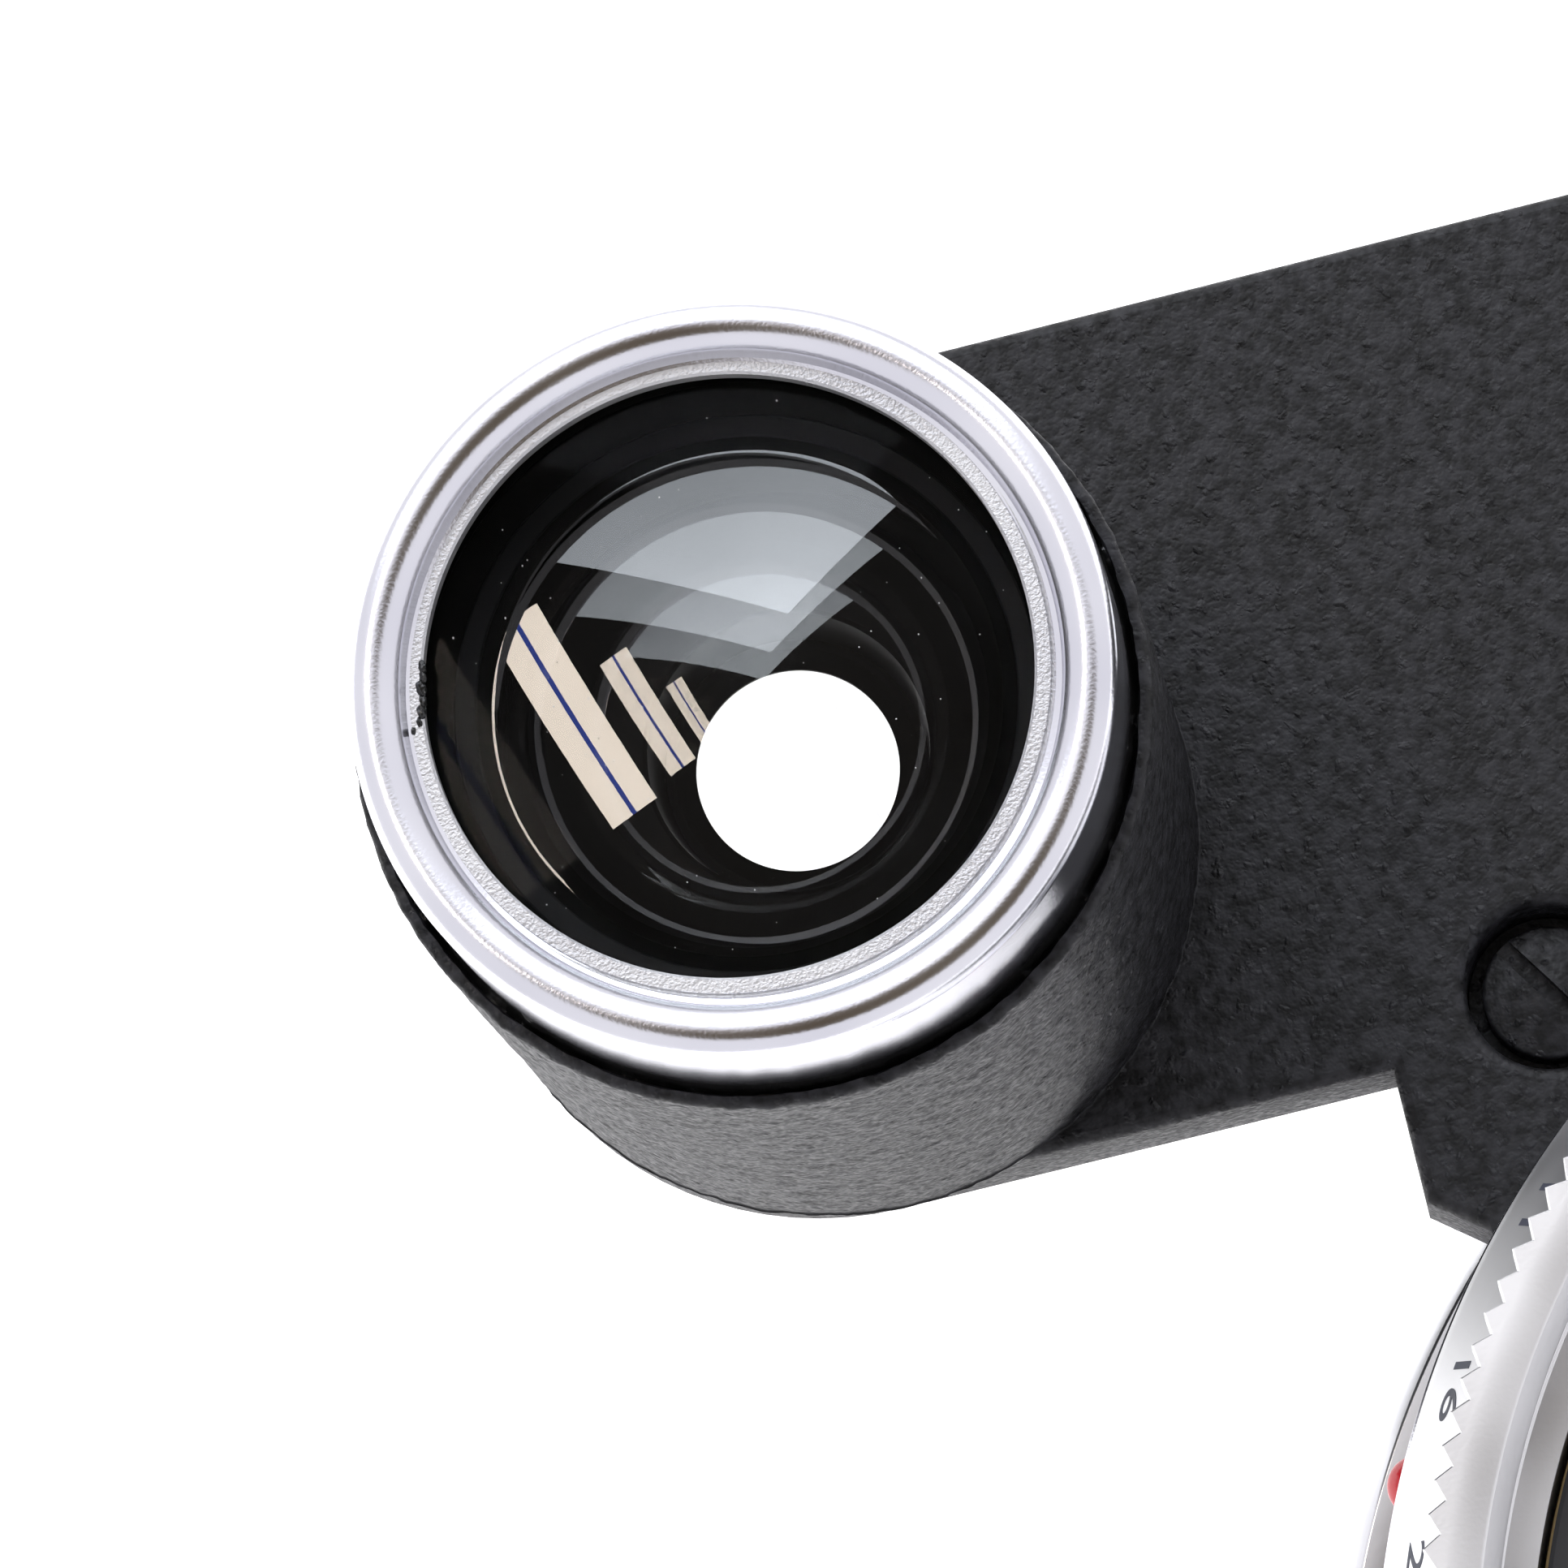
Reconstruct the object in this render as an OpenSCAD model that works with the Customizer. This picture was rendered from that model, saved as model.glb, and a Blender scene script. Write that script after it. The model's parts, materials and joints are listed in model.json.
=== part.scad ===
// Wide-angle camera lens with a pair of finder windows carried above it.
// Origin on the lens axis at the mount flange. +Z points to the subject, +Y to the finder windows.

/* [Finder] */
// Height of both window axes above the lens axis
window_y = 28.85; // [28:0.05:30]
// Rangefinder window axis, measured sideways from the lens axis
range_x = -29.58; // [-31:0.02:-28]
// Distance between the two window axes
finder_base = 68.5; // [66:0.5:70]
// Front face of the finder plate, above the flange
plate_front = 11.76; // [11:0.02:13]
// Thickness of the finder plate
plate_t = 3.2; // [2.8:0.1:3.6]
// Plate edge above the window axes
plate_up = 11.44; // [10.8:0.02:12]
// Plate edge below the window axes
plate_down = 8.5; // [8:0.1:9]
// Half width of the neck that reaches down to the lens
neck_half = 17.66; // [17:0.02:19]
// Radius of the hollow in the neck that clears the lens barrel
neck_arc_r = 22.5; // [22.5:0.1:23]

/* [Round window] */
// Outer radius of the black window barrel
barrel_r = 8.99; // [8.8:0.01:9.4]
// Rim of the black window barrel, above the flange
barrel_top = 28.85; // [28:0.05:29.5]
// Outer radius of the satin window ring
window_ring_r = 8.42; // [8.3:0.01:8.5]
// Crest of the satin window ring, above the flange
window_top = 33; // [32.5:0.1:33.5]
// Radius of the opening in the satin window ring
window_open_r = 6.63; // [6.4:0.01:6.8]
// Radius of the hollow ground into the back of the round front glass
bowl_r = 5.6; // [5.2:0.1:5.8]
// Radius of the stop inside the round window
range_stop_r = 2.74; // [2.2:0.02:3]

/* [Square window] */
// Width of the viewfinder front opening
view_w = 20.6; // [18:0.2:21]
// Height of the viewfinder front opening
view_h = 12.6; // [11:0.2:13]
// Front of the viewfinder hood, above the flange
hood_top = 21.4; // [20:0.2:24]

/* [Lens] */
// Radius over the tips of the front knurl
knurl_r = 21; // [20.8:0.05:21.2]
// Number of teeth in the front knurl
knurl_teeth = 172; // [120:2:200]
// Front face of the aperture ring, above the flange
lens_top = 27; // [26.8:0.1:27.4]
// Radius of the filter thread's crests
filter_r = 19.25; // [19.2:0.01:19.3]
// Outer radius of the mount flange
flange_r = 24.6; // [24.2:0.1:25.2]
// Outer radius of the bayonet tube
mount_tube_r = 20.9; // [20.8:0.05:20.9]
// Reach of the bayonet tube behind the flange
mount_tube_l = 5.6; // [5.4:0.1:6]
// Angle of the focusing lever at infinity
lever_angle = 215; // [200:1:225]

/* [Iris] */
// Number of iris blades
blade_count = 10; // [8:1:10]
// Radius that the open blades leave clear
iris_open_r = 5.8; // [5.7:0.1:6]

/* [Hidden] */
$fn = 96;
cut = 1;            // how far a cutter runs past the face that it opens
fit = 0.02;         // radial room between pieces that stay fixed to each other
run = 0.1;          // radial room between pieces that turn or slide on each other

black = "#1d1d20";
silver = "#d9d9de";
brass = "#b08d3e";
steel = "#9a9da2";
glass = [0.8, 0.88, 0.9, 0.5];

// Finder
plate_back = plate_front - plate_t;
plate_x0 = range_x - 8.6;
view_x = range_x + finder_base;
plate_x1 = view_x + 13.4;
plate_y0 = window_y - plate_down;
plate_y1 = window_y + plate_up;
plate_corners = [8.5, 4, 4, 6];
housing_inset = 2.5;
housing_back = 3.4;
housing_wall = 1.5;
light_x = 5;
light_y = 33;
light_w = 22;
light_h = 8;
neck_screws = [[-13.58, 21.41], [13.58, 21.41]];
neck_screw_r = 1.15;
neck_recess_r = 1.98;
neck_seat_z = plate_front - 1.9;
pin_spots = [[-8.6, 24.9], [8.6, 24.9]];
pin_r = 1;
housing_bosses = [[-20, plate_y1 - 4.6], [view_x - 12.7, plate_y1 - 4.6],
                  [view_x - 12.7, plate_y0 + 4.8], [-20, plate_y0 + 4.8]];
notch_half = 17.2;
notch_top = 27.4;

// Round window
shank_r = 7.68;
shank_bore_r = 7.15;
ring_seat = barrel_top - 0.9;
glass_edge_z = window_top - 1.3;
front_flat_z = glass_edge_z - 3.5;
bowl_curve_r = 37.7;
inner_rim_z = 25.16;
baffle_z = 19.1;
baffle_t = 3.2;
rear_lens_z = 16.7;
rear_lens_t = 1.7;
tube_floor_z = 13.4;

// Square window
view_lens_w = view_w + 1;
view_lens_h = view_h + 1;
view_y = window_y + 0.5;
view_lens_z = hood_top - 5.2;

// Lens barrel
flange_t = 3;
body_r = 22.6;
body_top = 8;
focus_r = 22.2;
focus_z0 = body_top + 0.1;
focus_z1 = 13.9;
helicoid_r = 18.8;
carrier_r = 17.5;
carrier_head_r = 18.45;
carrier_bore_r = 15.6;
scale_z0 = focus_z1 + 0.2;
scale_z1 = 19.5;
scale_r = 22.15;
skirt_r = 22.05;
skirt_z = scale_z1 + 0.1;
knurl_depth = 0.32;
knurl_z = lens_top - 1.6;
ring_bore_r = carrier_head_r + run;
link_z = 20.7;
link_angle = 200;
aperture_turn = 72;
click_angle = 30;
click_step = 6;
lever_z0 = 7.4;
lever_t = 4.6;
lever_screw_z = 10.6;
button_at = 28;
button_z = 10.4;
button_t = 2.9;
spring_z = 8.8;
catch_top = 5.2;
bead_angle = 150.1;
bead_z = 5.2;
bead_r = 0.78;
bridge_screw_x = [-6.3, 6.3];
bridge_screw_y = 22.95;
mount_screw_angles = [0:60:300];
mount_screw_at = 21.95;

// Iris
iris_z = 17.5;
blade_t = 0.08;
blade_pitch = 0.13;
blade_w = 3.6;
blade_pivot_r = 8.6;
blade_tail = 8;
blade_reach = 115;

// A turned piece from its half section.
module turned(section) rotate_extrude() polygon(section);

// A plain ring between two heights.
module ring(r_out, r_in, z0, z1) {
    translate([0, 0, z0]) difference() {
        cylinder(r = r_out, h = z1 - z0);
        translate([0, 0, -cut]) cylinder(r = r_in, h = z1 - z0 + 2 * cut);
    }
}

// A round bar between two heights, standing at a place in plan.
module post(at, r, z0, z1) translate([at[0], at[1], z0]) cylinder(r = r, h = z1 - z0);

// A flat slab with four round corners: lower left, lower right, upper right, upper left.
module slab(x0, x1, y0, y1, z0, z1, corners) {
    ends = [[x0, y0], [x1, y0], [x1, y1], [x0, y1]];
    inward = [[1, 1], [-1, 1], [-1, -1], [1, -1]];
    difference() {
        translate([x0, y0, z0]) cube([x1 - x0, y1 - y0, z1 - z0]);
        for (i = [0:3]) translate([ends[i][0], ends[i][1], z0 - cut]) corner_waste(inward[i], corners[i], z1 - z0);
    }
}

// The square-cornered waste outside one round corner.
module corner_waste(inward, r, t) {
    scale_x = inward[0] > 0 ? 0 : 1;
    scale_y = inward[1] > 0 ? 0 : 1;
    mirror([scale_x, 0, 0]) mirror([0, scale_y, 0]) difference() {
        translate([-cut, -cut, 0]) cube([r + cut, r + cut, t + 2 * cut]);
        translate([r, r, -cut]) cylinder(r = r, h = t + 4 * cut);
    }
}

// A slab centred on a window axis.
module window_slab(x, y, w, h, z0, z1, r) slab(x - w / 2, x + w / 2, y - h / 2, y + h / 2, z0, z1, [r, r, r, r]);

// The outline of the neck, wide at the plate and cut off at its lower corners.
module neck_outline(half, low, chamfer, top) {
    polygon([[-half, top], [-half, low + chamfer], [-half + 1.25 * chamfer, low],
             [half - 1.25 * chamfer, low], [half, low + chamfer], [half, top]]);
}

// A screw standing head up: a head with a straight slot, and a plain shank below it.
module slotted_screw(head_r, head_t, shank_r, shank_l, slot_w, turn) {
    difference() {
        cylinder(r = head_r, h = head_t);
        rotate([0, 0, turn]) translate([-head_r - cut, -slot_w / 2, head_t / 2])
            cube([2 * (head_r + cut), slot_w, head_t]);
    }
    translate([0, 0, -shank_l]) cylinder(r = shank_r, h = shank_l);
}

// A countersunk screw whose slotted head faces down at the origin.
module sunk_screw(head_r, shank_r, reach, turn) {
    difference() {
        union() {
            cylinder(r1 = head_r, r2 = shank_r, h = head_r - shank_r);
            cylinder(r = shank_r, h = reach);
        }
        rotate([0, 0, turn]) translate([-head_r - cut, -0.2, -cut]) cube([2 * (head_r + cut), 0.4, cut + 0.35]);
    }
}

// The hole that a countersunk screw sits in.
module sunk_hole(head_r, shank_r, reach) {
    translate([0, 0, -0.001]) cylinder(r1 = head_r + fit, r2 = shank_r + fit, h = head_r - shank_r);
    translate([0, 0, -cut]) cylinder(r = shank_r + fit, h = reach + cut);
}

// A disc of glass with a curved front and a curved back. Positive radii bulge, negative ones are hollow.
module lens_blank(r, z_back, z_front, bulge_front, bulge_back) {
    difference() {
        intersection() {
            translate([0, 0, z_back - 3]) cylinder(r = r, h = z_front - z_back + 6);
            if (bulge_front > 0) cap_ball(r, bulge_front, z_front, -1);
            else translate([0, 0, z_back - 3]) cylinder(r = r + cut, h = z_front - z_back + 3);
            if (bulge_back > 0) cap_ball(r, bulge_back, z_back, 1);
            else translate([0, 0, z_back]) cylinder(r = r + cut, h = z_front - z_back + 6);
        }
        if (bulge_front < 0) cap_ball(r - 0.8, -bulge_front, z_front, 1);
        if (bulge_back < 0) cap_ball(r - 0.8, -bulge_back, z_back, -1);
    }
}

// A ball of radius curve that crosses height z on a circle of radius r, with its centre on the given side.
module cap_ball(r, curve, z, side) translate([0, 0, z + side * sqrt(curve * curve - r * r)]) sphere(r = curve);

// ---- finder ----

module finder_plate() {
    color(black) difference() {
        union() {
            slab(plate_x0, plate_x1, plate_y0, plate_y1, plate_back, plate_front, plate_corners);
            translate([0, 0, plate_back]) linear_extrude(plate_t) neck_outline(neck_half, 15.76, 1.3, plate_y0 + 2);
            post([range_x, window_y], barrel_r, plate_back, barrel_top);
            window_slab(view_x, view_y, view_w + 5.2, view_h + 4.8, plate_back, hood_top, 3);
        }
        translate([0, 0, plate_back - cut]) cylinder(r = neck_arc_r, h = plate_t + 2 * cut);
        post([range_x, window_y], shank_r - 0.6, plate_back - cut, barrel_top);
        post([range_x, window_y], shank_r + fit, tube_floor_z, barrel_top + cut);
        post([range_x, window_y], window_ring_r + 0.2, ring_seat, barrel_top + cut);
        window_slab(view_x, view_y, view_lens_w + 0.1, view_lens_h + 0.1, plate_back - cut, hood_top + cut, 1.6);
        window_slab(view_x, view_y, view_w + 3.4, view_h + 3.2, hood_top - 1, hood_top + cut, 2.2);
        window_slab(light_x, light_y, light_w, light_h, plate_back - cut, plate_front + cut, 1.5);
        for (s = neck_screws) {
            post(s, neck_recess_r, neck_seat_z, plate_front + cut);
            post(s, neck_screw_r, plate_back - cut, plate_front);
        }
        for (p = pin_spots) post(p, pin_r + fit, plate_back - cut, plate_back + 1.4);
        for (b = housing_bosses) post(b, 0.8 + fit, plate_back - cut, plate_back + 2);
    }
}

module rear_housing() {
    inset = housing_inset;
    wall = inset + housing_wall;
    color(black) difference() {
        slab(plate_x0 + inset, plate_x1 - inset, plate_y0 + inset, plate_y1 - inset, housing_back, plate_back,
             [for (c = plate_corners) max(c - inset, 1.5)]);
        translate([-notch_half, 0, housing_back - cut]) cube([2 * notch_half, notch_top, plate_back]);
        difference() {
            slab(plate_x0 + wall, plate_x1 - wall, plate_y0 + wall, plate_y1 - wall,
                 housing_back + housing_wall, plate_back + cut, [for (c = plate_corners) max(c - wall, 1)]);
            translate([-notch_half - housing_wall, 0, 0])
                cube([2 * (notch_half + housing_wall), notch_top + housing_wall, plate_front]);
            window_slab(light_x, light_y, light_w + 2.4, light_h + 2.4, 0, plate_front, 2);
            window_slab(view_x, view_y, view_w + 1.2, view_h + 2.4, 0, plate_front, 2);
            post([range_x, window_y], 8, 0, plate_front);
            for (b = housing_bosses) post(b, 2.2, 0, plate_front);
        }
        post([range_x, window_y], 6.6, housing_back - cut, plate_front);
        window_slab(light_x, light_y, light_w, light_h, housing_back - cut, plate_front, 1.5);
        window_slab(view_x, view_y, view_w - 1.6, view_h, housing_back - cut, plate_front, 1.5);
        for (b = housing_bosses) translate([b[0], b[1], housing_back]) sunk_hole(1.5, 0.8, plate_t + 5);
    }
}

// The satin ring: a threaded shank, a flat inner lip, and a rounded crest turned around it.
module window_ring() {
    crest_r = 0.55;
    crest_mid = window_ring_r - crest_r;
    lip_z = window_top - 0.75;
    crest = [for (a = [0:15:180]) [crest_mid + crest_r * cos(a), window_top - crest_r + crest_r * sin(a)]];
    color(silver) translate([range_x, window_y, 0]) turned(concat(
        [[shank_bore_r, 24.2], [shank_r, 24.2], [shank_r, ring_seat], [window_ring_r, ring_seat]],
        crest,
        [[7.2, lip_z + 0.05], [7.12, lip_z], [window_open_r + 0.06, lip_z], [window_open_r, lip_z - 0.08],
         [window_open_r, glass_edge_z + 0.1], [shank_bore_r, glass_edge_z + 0.1]]));
}

module rangefinder_front_lens() {
    front_curve = 60;
    color(glass) translate([range_x, window_y, 0]) difference() {
        lens_blank(7.1, front_flat_z, glass_edge_z, front_curve, 0);
        cap_ball(bowl_r, bowl_curve_r, front_flat_z, -1);
    }
}

// Holds the front glass and the inner lens apart, and blackens the edge of the view.
module rangefinder_front_spacer() {
    color(black) translate([range_x, window_y, 0]) turned(
        [[6.3, 27.5], [7.1, 27.1], [7.1, front_flat_z - 0.02], [6.3, front_flat_z - 0.02]]);
}

// The thin lens behind the front glass, deeply hollowed at the back.
module rangefinder_inner_lens() {
    front_curve = 18.56;
    front_apex = 28.35;
    hollow_curve = 11.78;
    hollow_apex = 27.19;
    color(glass) translate([range_x, window_y, 0]) difference() {
        intersection() {
            translate([0, 0, inner_rim_z]) cylinder(r = 7.1, h = 5);
            translate([0, 0, front_apex - front_curve]) sphere(r = front_curve);
        }
        translate([0, 0, hollow_apex - hollow_curve]) sphere(r = hollow_curve);
    }
}

module rangefinder_spacer() {
    top = inner_rim_z - 0.02;
    low = baffle_z + baffle_t + 0.02;
    color(black) translate([range_x, window_y, 0]) turned(
        [[6.65, low], [7.6, low], [7.6, 24], [7.1, 24], [7.1, top], [6.65, top]]);
}

// A thick black disc whose bore ends in the stop.
module rangefinder_baffle() {
    bore_r = 3.5;
    color(black) translate([range_x, window_y, 0]) turned(
        [[range_stop_r, baffle_z], [7.6, baffle_z], [7.6, baffle_z + baffle_t], [bore_r, baffle_z + baffle_t],
         [bore_r, baffle_z + 0.55], [range_stop_r + 0.5, baffle_z + 0.55], [range_stop_r, baffle_z + 0.2]]);
}

module rangefinder_rear_lens() {
    curve = 32;
    color(glass) translate([range_x, window_y, 0])
        lens_blank(7.3, rear_lens_z, rear_lens_z + rear_lens_t, curve, curve);
}

module rangefinder_retainer() {
    low = tube_floor_z + 0.1;
    color(black) translate([range_x, window_y, 0]) turned(
        [[5.4, low], [7.6, low], [7.6, rear_lens_z - 0.02], [7.25, rear_lens_z - 0.02], [7.1, rear_lens_z - 0.2],
         [5.4, rear_lens_z - 1.6]]);
}

module viewfinder_front_frame() {
    color(black) difference() {
        window_slab(view_x, view_y, view_w + 3.3, view_h + 3.1, hood_top - 1, hood_top + 0.5, 2.1);
        window_slab(view_x, view_y, view_w, view_h, hood_top - 1 - cut, hood_top + cut, 1.4);
    }
}

module viewfinder_front_lens() {
    front_curve = 90;
    hollow_curve = 34;
    hollow_z = view_lens_z + 1.7;
    color(glass) difference() {
        window_slab(view_x, view_y, view_lens_w, view_lens_h, view_lens_z, hood_top - 1.05, 1.5);
        translate([view_x, view_y, hollow_z - hollow_curve]) sphere(r = hollow_curve);
        difference() {
            translate([view_x, view_y, hood_top]) cube([40, 40, 4], center = true);
            translate([view_x, view_y, hood_top - 1.05 - front_curve]) sphere(r = front_curve);
        }
    }
}

module viewfinder_light_box() {
    color(black) difference() {
        window_slab(view_x, view_y, view_lens_w, view_lens_h, plate_back + 0.1, view_lens_z - 0.05, 1.5);
        window_slab(view_x, view_y, view_w - 2, view_h - 0.8, 0, view_lens_z + cut, 1);
    }
}

module viewfinder_rear_lens() {
    curve = 46;
    z = housing_back + 1.3;
    color(glass) intersection() {
        window_slab(view_x, view_y, view_w - 1.7, view_h - 0.1, z, z + 5, 1.4);
        translate([view_x, view_y, z + 3.4 - curve]) sphere(r = curve);
    }
}

module viewfinder_rear_frame() {
    color(black) difference() {
        window_slab(view_x, view_y, view_w - 1.7, view_h - 0.1, housing_back, housing_back + 1.25, 1.4);
        window_slab(view_x, view_y, view_w - 4, view_h - 2.4, housing_back - cut, plate_front, 1);
    }
}

// Two large slotted screws that hold the finder's neck to the bracket behind it.
module bracket_screws() {
    color(black) for (s = neck_screws) translate([s[0], s[1], neck_seat_z])
        slotted_screw(1.9, 1.3, neck_screw_r - fit, 5.4, 0.5, s[0] < 0 ? -58 : 24);
}

module housing_screws() {
    color(steel) for (i = [0:3]) translate([housing_bosses[i][0], housing_bosses[i][1], housing_back])
        sunk_screw(1.5, 0.8, 6.8, 40 * i + 15);
}

module bridge_bracket() {
    color(silver) difference() {
        translate([0, 0, flange_t]) linear_extrude(plate_back - flange_t - 0.01) neck_outline(16.8, 16.6, 1, 27.2);
        translate([0, 0, flange_t - cut]) cylinder(r = body_r + fit, h = plate_back);
        for (s = neck_screws) post(s, neck_screw_r, flange_t - cut, plate_front);
        for (p = pin_spots) post(p, pin_r + fit, 6, plate_front);
        for (x = bridge_screw_x) post([x, bridge_screw_y], 0.7 + fit, flange_t - cut, 6.5);
    }
}

module bridge_screws() {
    color(steel) for (x = bridge_screw_x) translate([x, bridge_screw_y, 0]) sunk_screw(1.3, 0.7, 6, 30 + x);
}

module locating_pins() {
    color(steel) for (p = pin_spots) post(p, pin_r, 6.1, plate_back + 1.3);
}

// ---- mount and focusing ----

module bayonet_mount() {
    lug_w = 46;
    color(silver) difference() {
        union() {
            turned([[18, -mount_tube_l], [mount_tube_r - 0.3, -mount_tube_l], [mount_tube_r, -mount_tube_l + 0.3],
                    [mount_tube_r, 0.3], [mount_tube_r + 0.25, 0.3], [mount_tube_r + 0.25, 0], [flange_r - 0.25, 0], [flange_r, 0.25], [flange_r, 1.9],
                    [flange_r - 1, flange_t], [helicoid_r + run, flange_t], [helicoid_r + run, 0.8], [18, 0.8]]);
            for (i = [0:2]) rotate([0, 0, 120 * i + 30]) rotate_extrude(angle = lug_w)
                translate([mount_tube_r - 0.5, -3.7]) square([1.5, 1.5]);
        }
        for (x = bridge_screw_x) translate([x, bridge_screw_y, 0]) sunk_hole(1.3, 0.7, flange_t + cut);
        for (a = mount_screw_angles) rotate([0, 0, a]) translate([mount_screw_at, 0, 0]) sunk_hole(1, 0.5, flange_t + cut);
        rotate([0, 0, 270]) translate([17, -1.5, -2.6]) cube([2.6, 3, 3.2]);
    }
}

// A round bead set in the side of the mount body, which marks how the lens goes into the camera.
module index_bead() {
    color("#b5121b") rotate([0, 0, bead_angle]) translate([body_r - 1.35, 0, bead_z]) rotate([0, 90, 0]) {
        cylinder(r = bead_r, h = 1.25);
        intersection() {
            translate([0, 0, 1.25]) sphere(r = bead_r);
            translate([0, 0, 3.25]) cube([4, 4, 4], center = true);
        }
    }
}

module mount_screws() {
    color(steel) for (a = mount_screw_angles) rotate([0, 0, a]) translate([mount_screw_at, 0, 0]) sunk_screw(1, 0.5, 5.5, a);
}

module mount_body() {
    color(silver) difference() {
        turned([[helicoid_r + run, flange_t], [body_r, flange_t], [body_r, body_top - 0.3],
                [body_r - 0.3, body_top], [helicoid_r + run, body_top]]);
        for (a = mount_screw_angles) rotate([0, 0, a]) translate([mount_screw_at, 0, 0]) cylinder(r = 0.5 + fit, h = 5.6);
        rotate([0, 0, bead_angle]) translate([body_r - 1.4, 0, bead_z]) rotate([0, 90, 0]) cylinder(r = bead_r + 0.02, h = 3);
    }
}

// A ring of straight V teeth standing along the axis.
module knurl(r_tip, depth, teeth, z0, z1) {
    step = 360 / teeth;
    translate([0, 0, z0]) linear_extrude(z1 - z0) polygon([for (i = [0:teeth - 1], k = [0, 1])
        (r_tip - k * depth) * [cos((i + k / 2) * step), sin((i + k / 2) * step)]]);
}

module focus_ring() {
    grip_r = focus_r;
    color(silver) difference() {
        union() {
            ring(focus_r - 0.2, helicoid_r + fit, focus_z0, focus_z1);
            knurl(grip_r, 0.3, 150, focus_z0 + 0.5, focus_z0 + 2.9);
            ring(focus_r, helicoid_r + fit, focus_z0 + 3.1, focus_z1);
        }
        translate([0, 0, focus_z0 - cut]) cylinder(r = helicoid_r + fit, h = 10);
        translate([0, 0, focus_z1 - 2.6]) cylinder(r = helicoid_r + 0.8, h = 10);
        for (a = [0:120:240]) rotate([0, 90, a + lever_angle + 60])
            translate([-focus_z0 - 1.5, 0, helicoid_r]) cylinder(r = 0.6 + fit, h = 4);
        rotate([0, 0, lever_angle]) for (y = [-3.6, 3.6]) translate([20.5, y, lever_screw_z])
            rotate([0, 90, 0]) cylinder(r = 0.5 + fit, h = 4);
    }
}

module focus_helicoid() {
    color(brass) difference() {
        ring(helicoid_r, carrier_r + run, 1, 11.2);
        for (a = [0:120:240]) rotate([0, 90, a + lever_angle + 60])
            translate([-focus_z0 - 1.5, 0, helicoid_r - 0.7]) cylinder(r = 0.6 + fit, h = 4);
    }
}

module helicoid_screws() {
    color(steel) for (a = [0:120:240]) rotate([0, 90, a + lever_angle + 60])
        translate([-focus_z0 - 1.5, 0, helicoid_r - 0.7]) difference() {
            cylinder(r = 0.6, h = 3.3);
            translate([-1, -0.15, 2.9]) cube([2, 0.3, 1]);
        }
}

// A finger tab that reaches out from the focusing ring, hollowed for a fingertip and bored for the lock button.
module focus_lever() {
    color(silver) rotate([0, 0, lever_angle]) difference() {
        union() {
            translate([focus_r - 2, -5, lever_z0 + 1.6]) cube([4.2, 10, lever_t - 1.6]);
            translate([focus_r + 2, -2.3, lever_z0]) cube([button_at - focus_r - 2, 4.6, lever_t]);
            translate([button_at, 0, lever_z0]) cylinder(r = 3, h = lever_t);
        }
        translate([0, 0, lever_z0 - cut]) cylinder(r = focus_r + fit, h = lever_t + 2 * cut);
        translate([button_at, 0, lever_z0 - cut]) cylinder(r = 0.9 + run, h = 6);
        translate([button_at, 0, spring_z]) cylinder(r = 2.3 + run, h = 6);
        for (y = [-3.6, 3.6]) translate([20, y, lever_screw_z]) rotate([0, 90, 0]) cylinder(r = 0.5 + fit, h = 6);
    }
}

module lever_screws() {
    color(steel) rotate([0, 0, lever_angle]) for (y = [-3.6, 3.6]) translate([focus_r + 2.22, y, lever_screw_z])
        rotate([0, 90, 0]) slotted_screw(0.95, 0.7, 0.5, 3.4, 0.25, 20 * y);
}

// The round lock button: a domed head in the lever and a pin through it.
module lock_button() {
    crown = 8;
    color(silver) rotate([0, 0, lever_angle]) translate([button_at, 0, 0]) {
        intersection() {
            translate([0, 0, button_z]) cylinder(r = 2.3, h = button_t);
            translate([0, 0, button_z + button_t - crown]) sphere(r = crown);
        }
        translate([0, 0, catch_top + 0.3]) cylinder(r = 0.9, h = button_z - catch_top);
    }
}

module lock_spring() {
    turns = 5;
    pitch = (button_z - spring_z - 0.3) / turns;
    color(steel) rotate([0, 0, lever_angle]) translate([button_at, 0, spring_z + 0.05]) {
        for (i = [0:turns]) ring(1.7, 1.3, i * pitch, i * pitch + 0.2);
        for (i = [0:turns - 1]) rotate([0, 0, 180 * i]) translate([1.4, -0.15, i * pitch]) cube([0.2, 0.3, pitch + 0.1]);
    }
}

// The tooth under the lever that the lock pin drops into at infinity.
module infinity_catch() {
    color(silver) rotate([0, 0, lever_angle]) difference() {
        union() {
            translate([body_r - 1, -2.2, flange_t]) cube([button_at - body_r + 1, 4.4, catch_top - flange_t]);
            translate([button_at, 0, flange_t]) cylinder(r = 2.2, h = catch_top - flange_t);
        }
        translate([0, 0, flange_t - cut]) cylinder(r = body_r + fit, h = 10);
        translate([button_at, 0, 0]) cylinder(r = 1.2, h = 10);
    }
}

// ---- the part that moves out as the lens focuses ----

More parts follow.
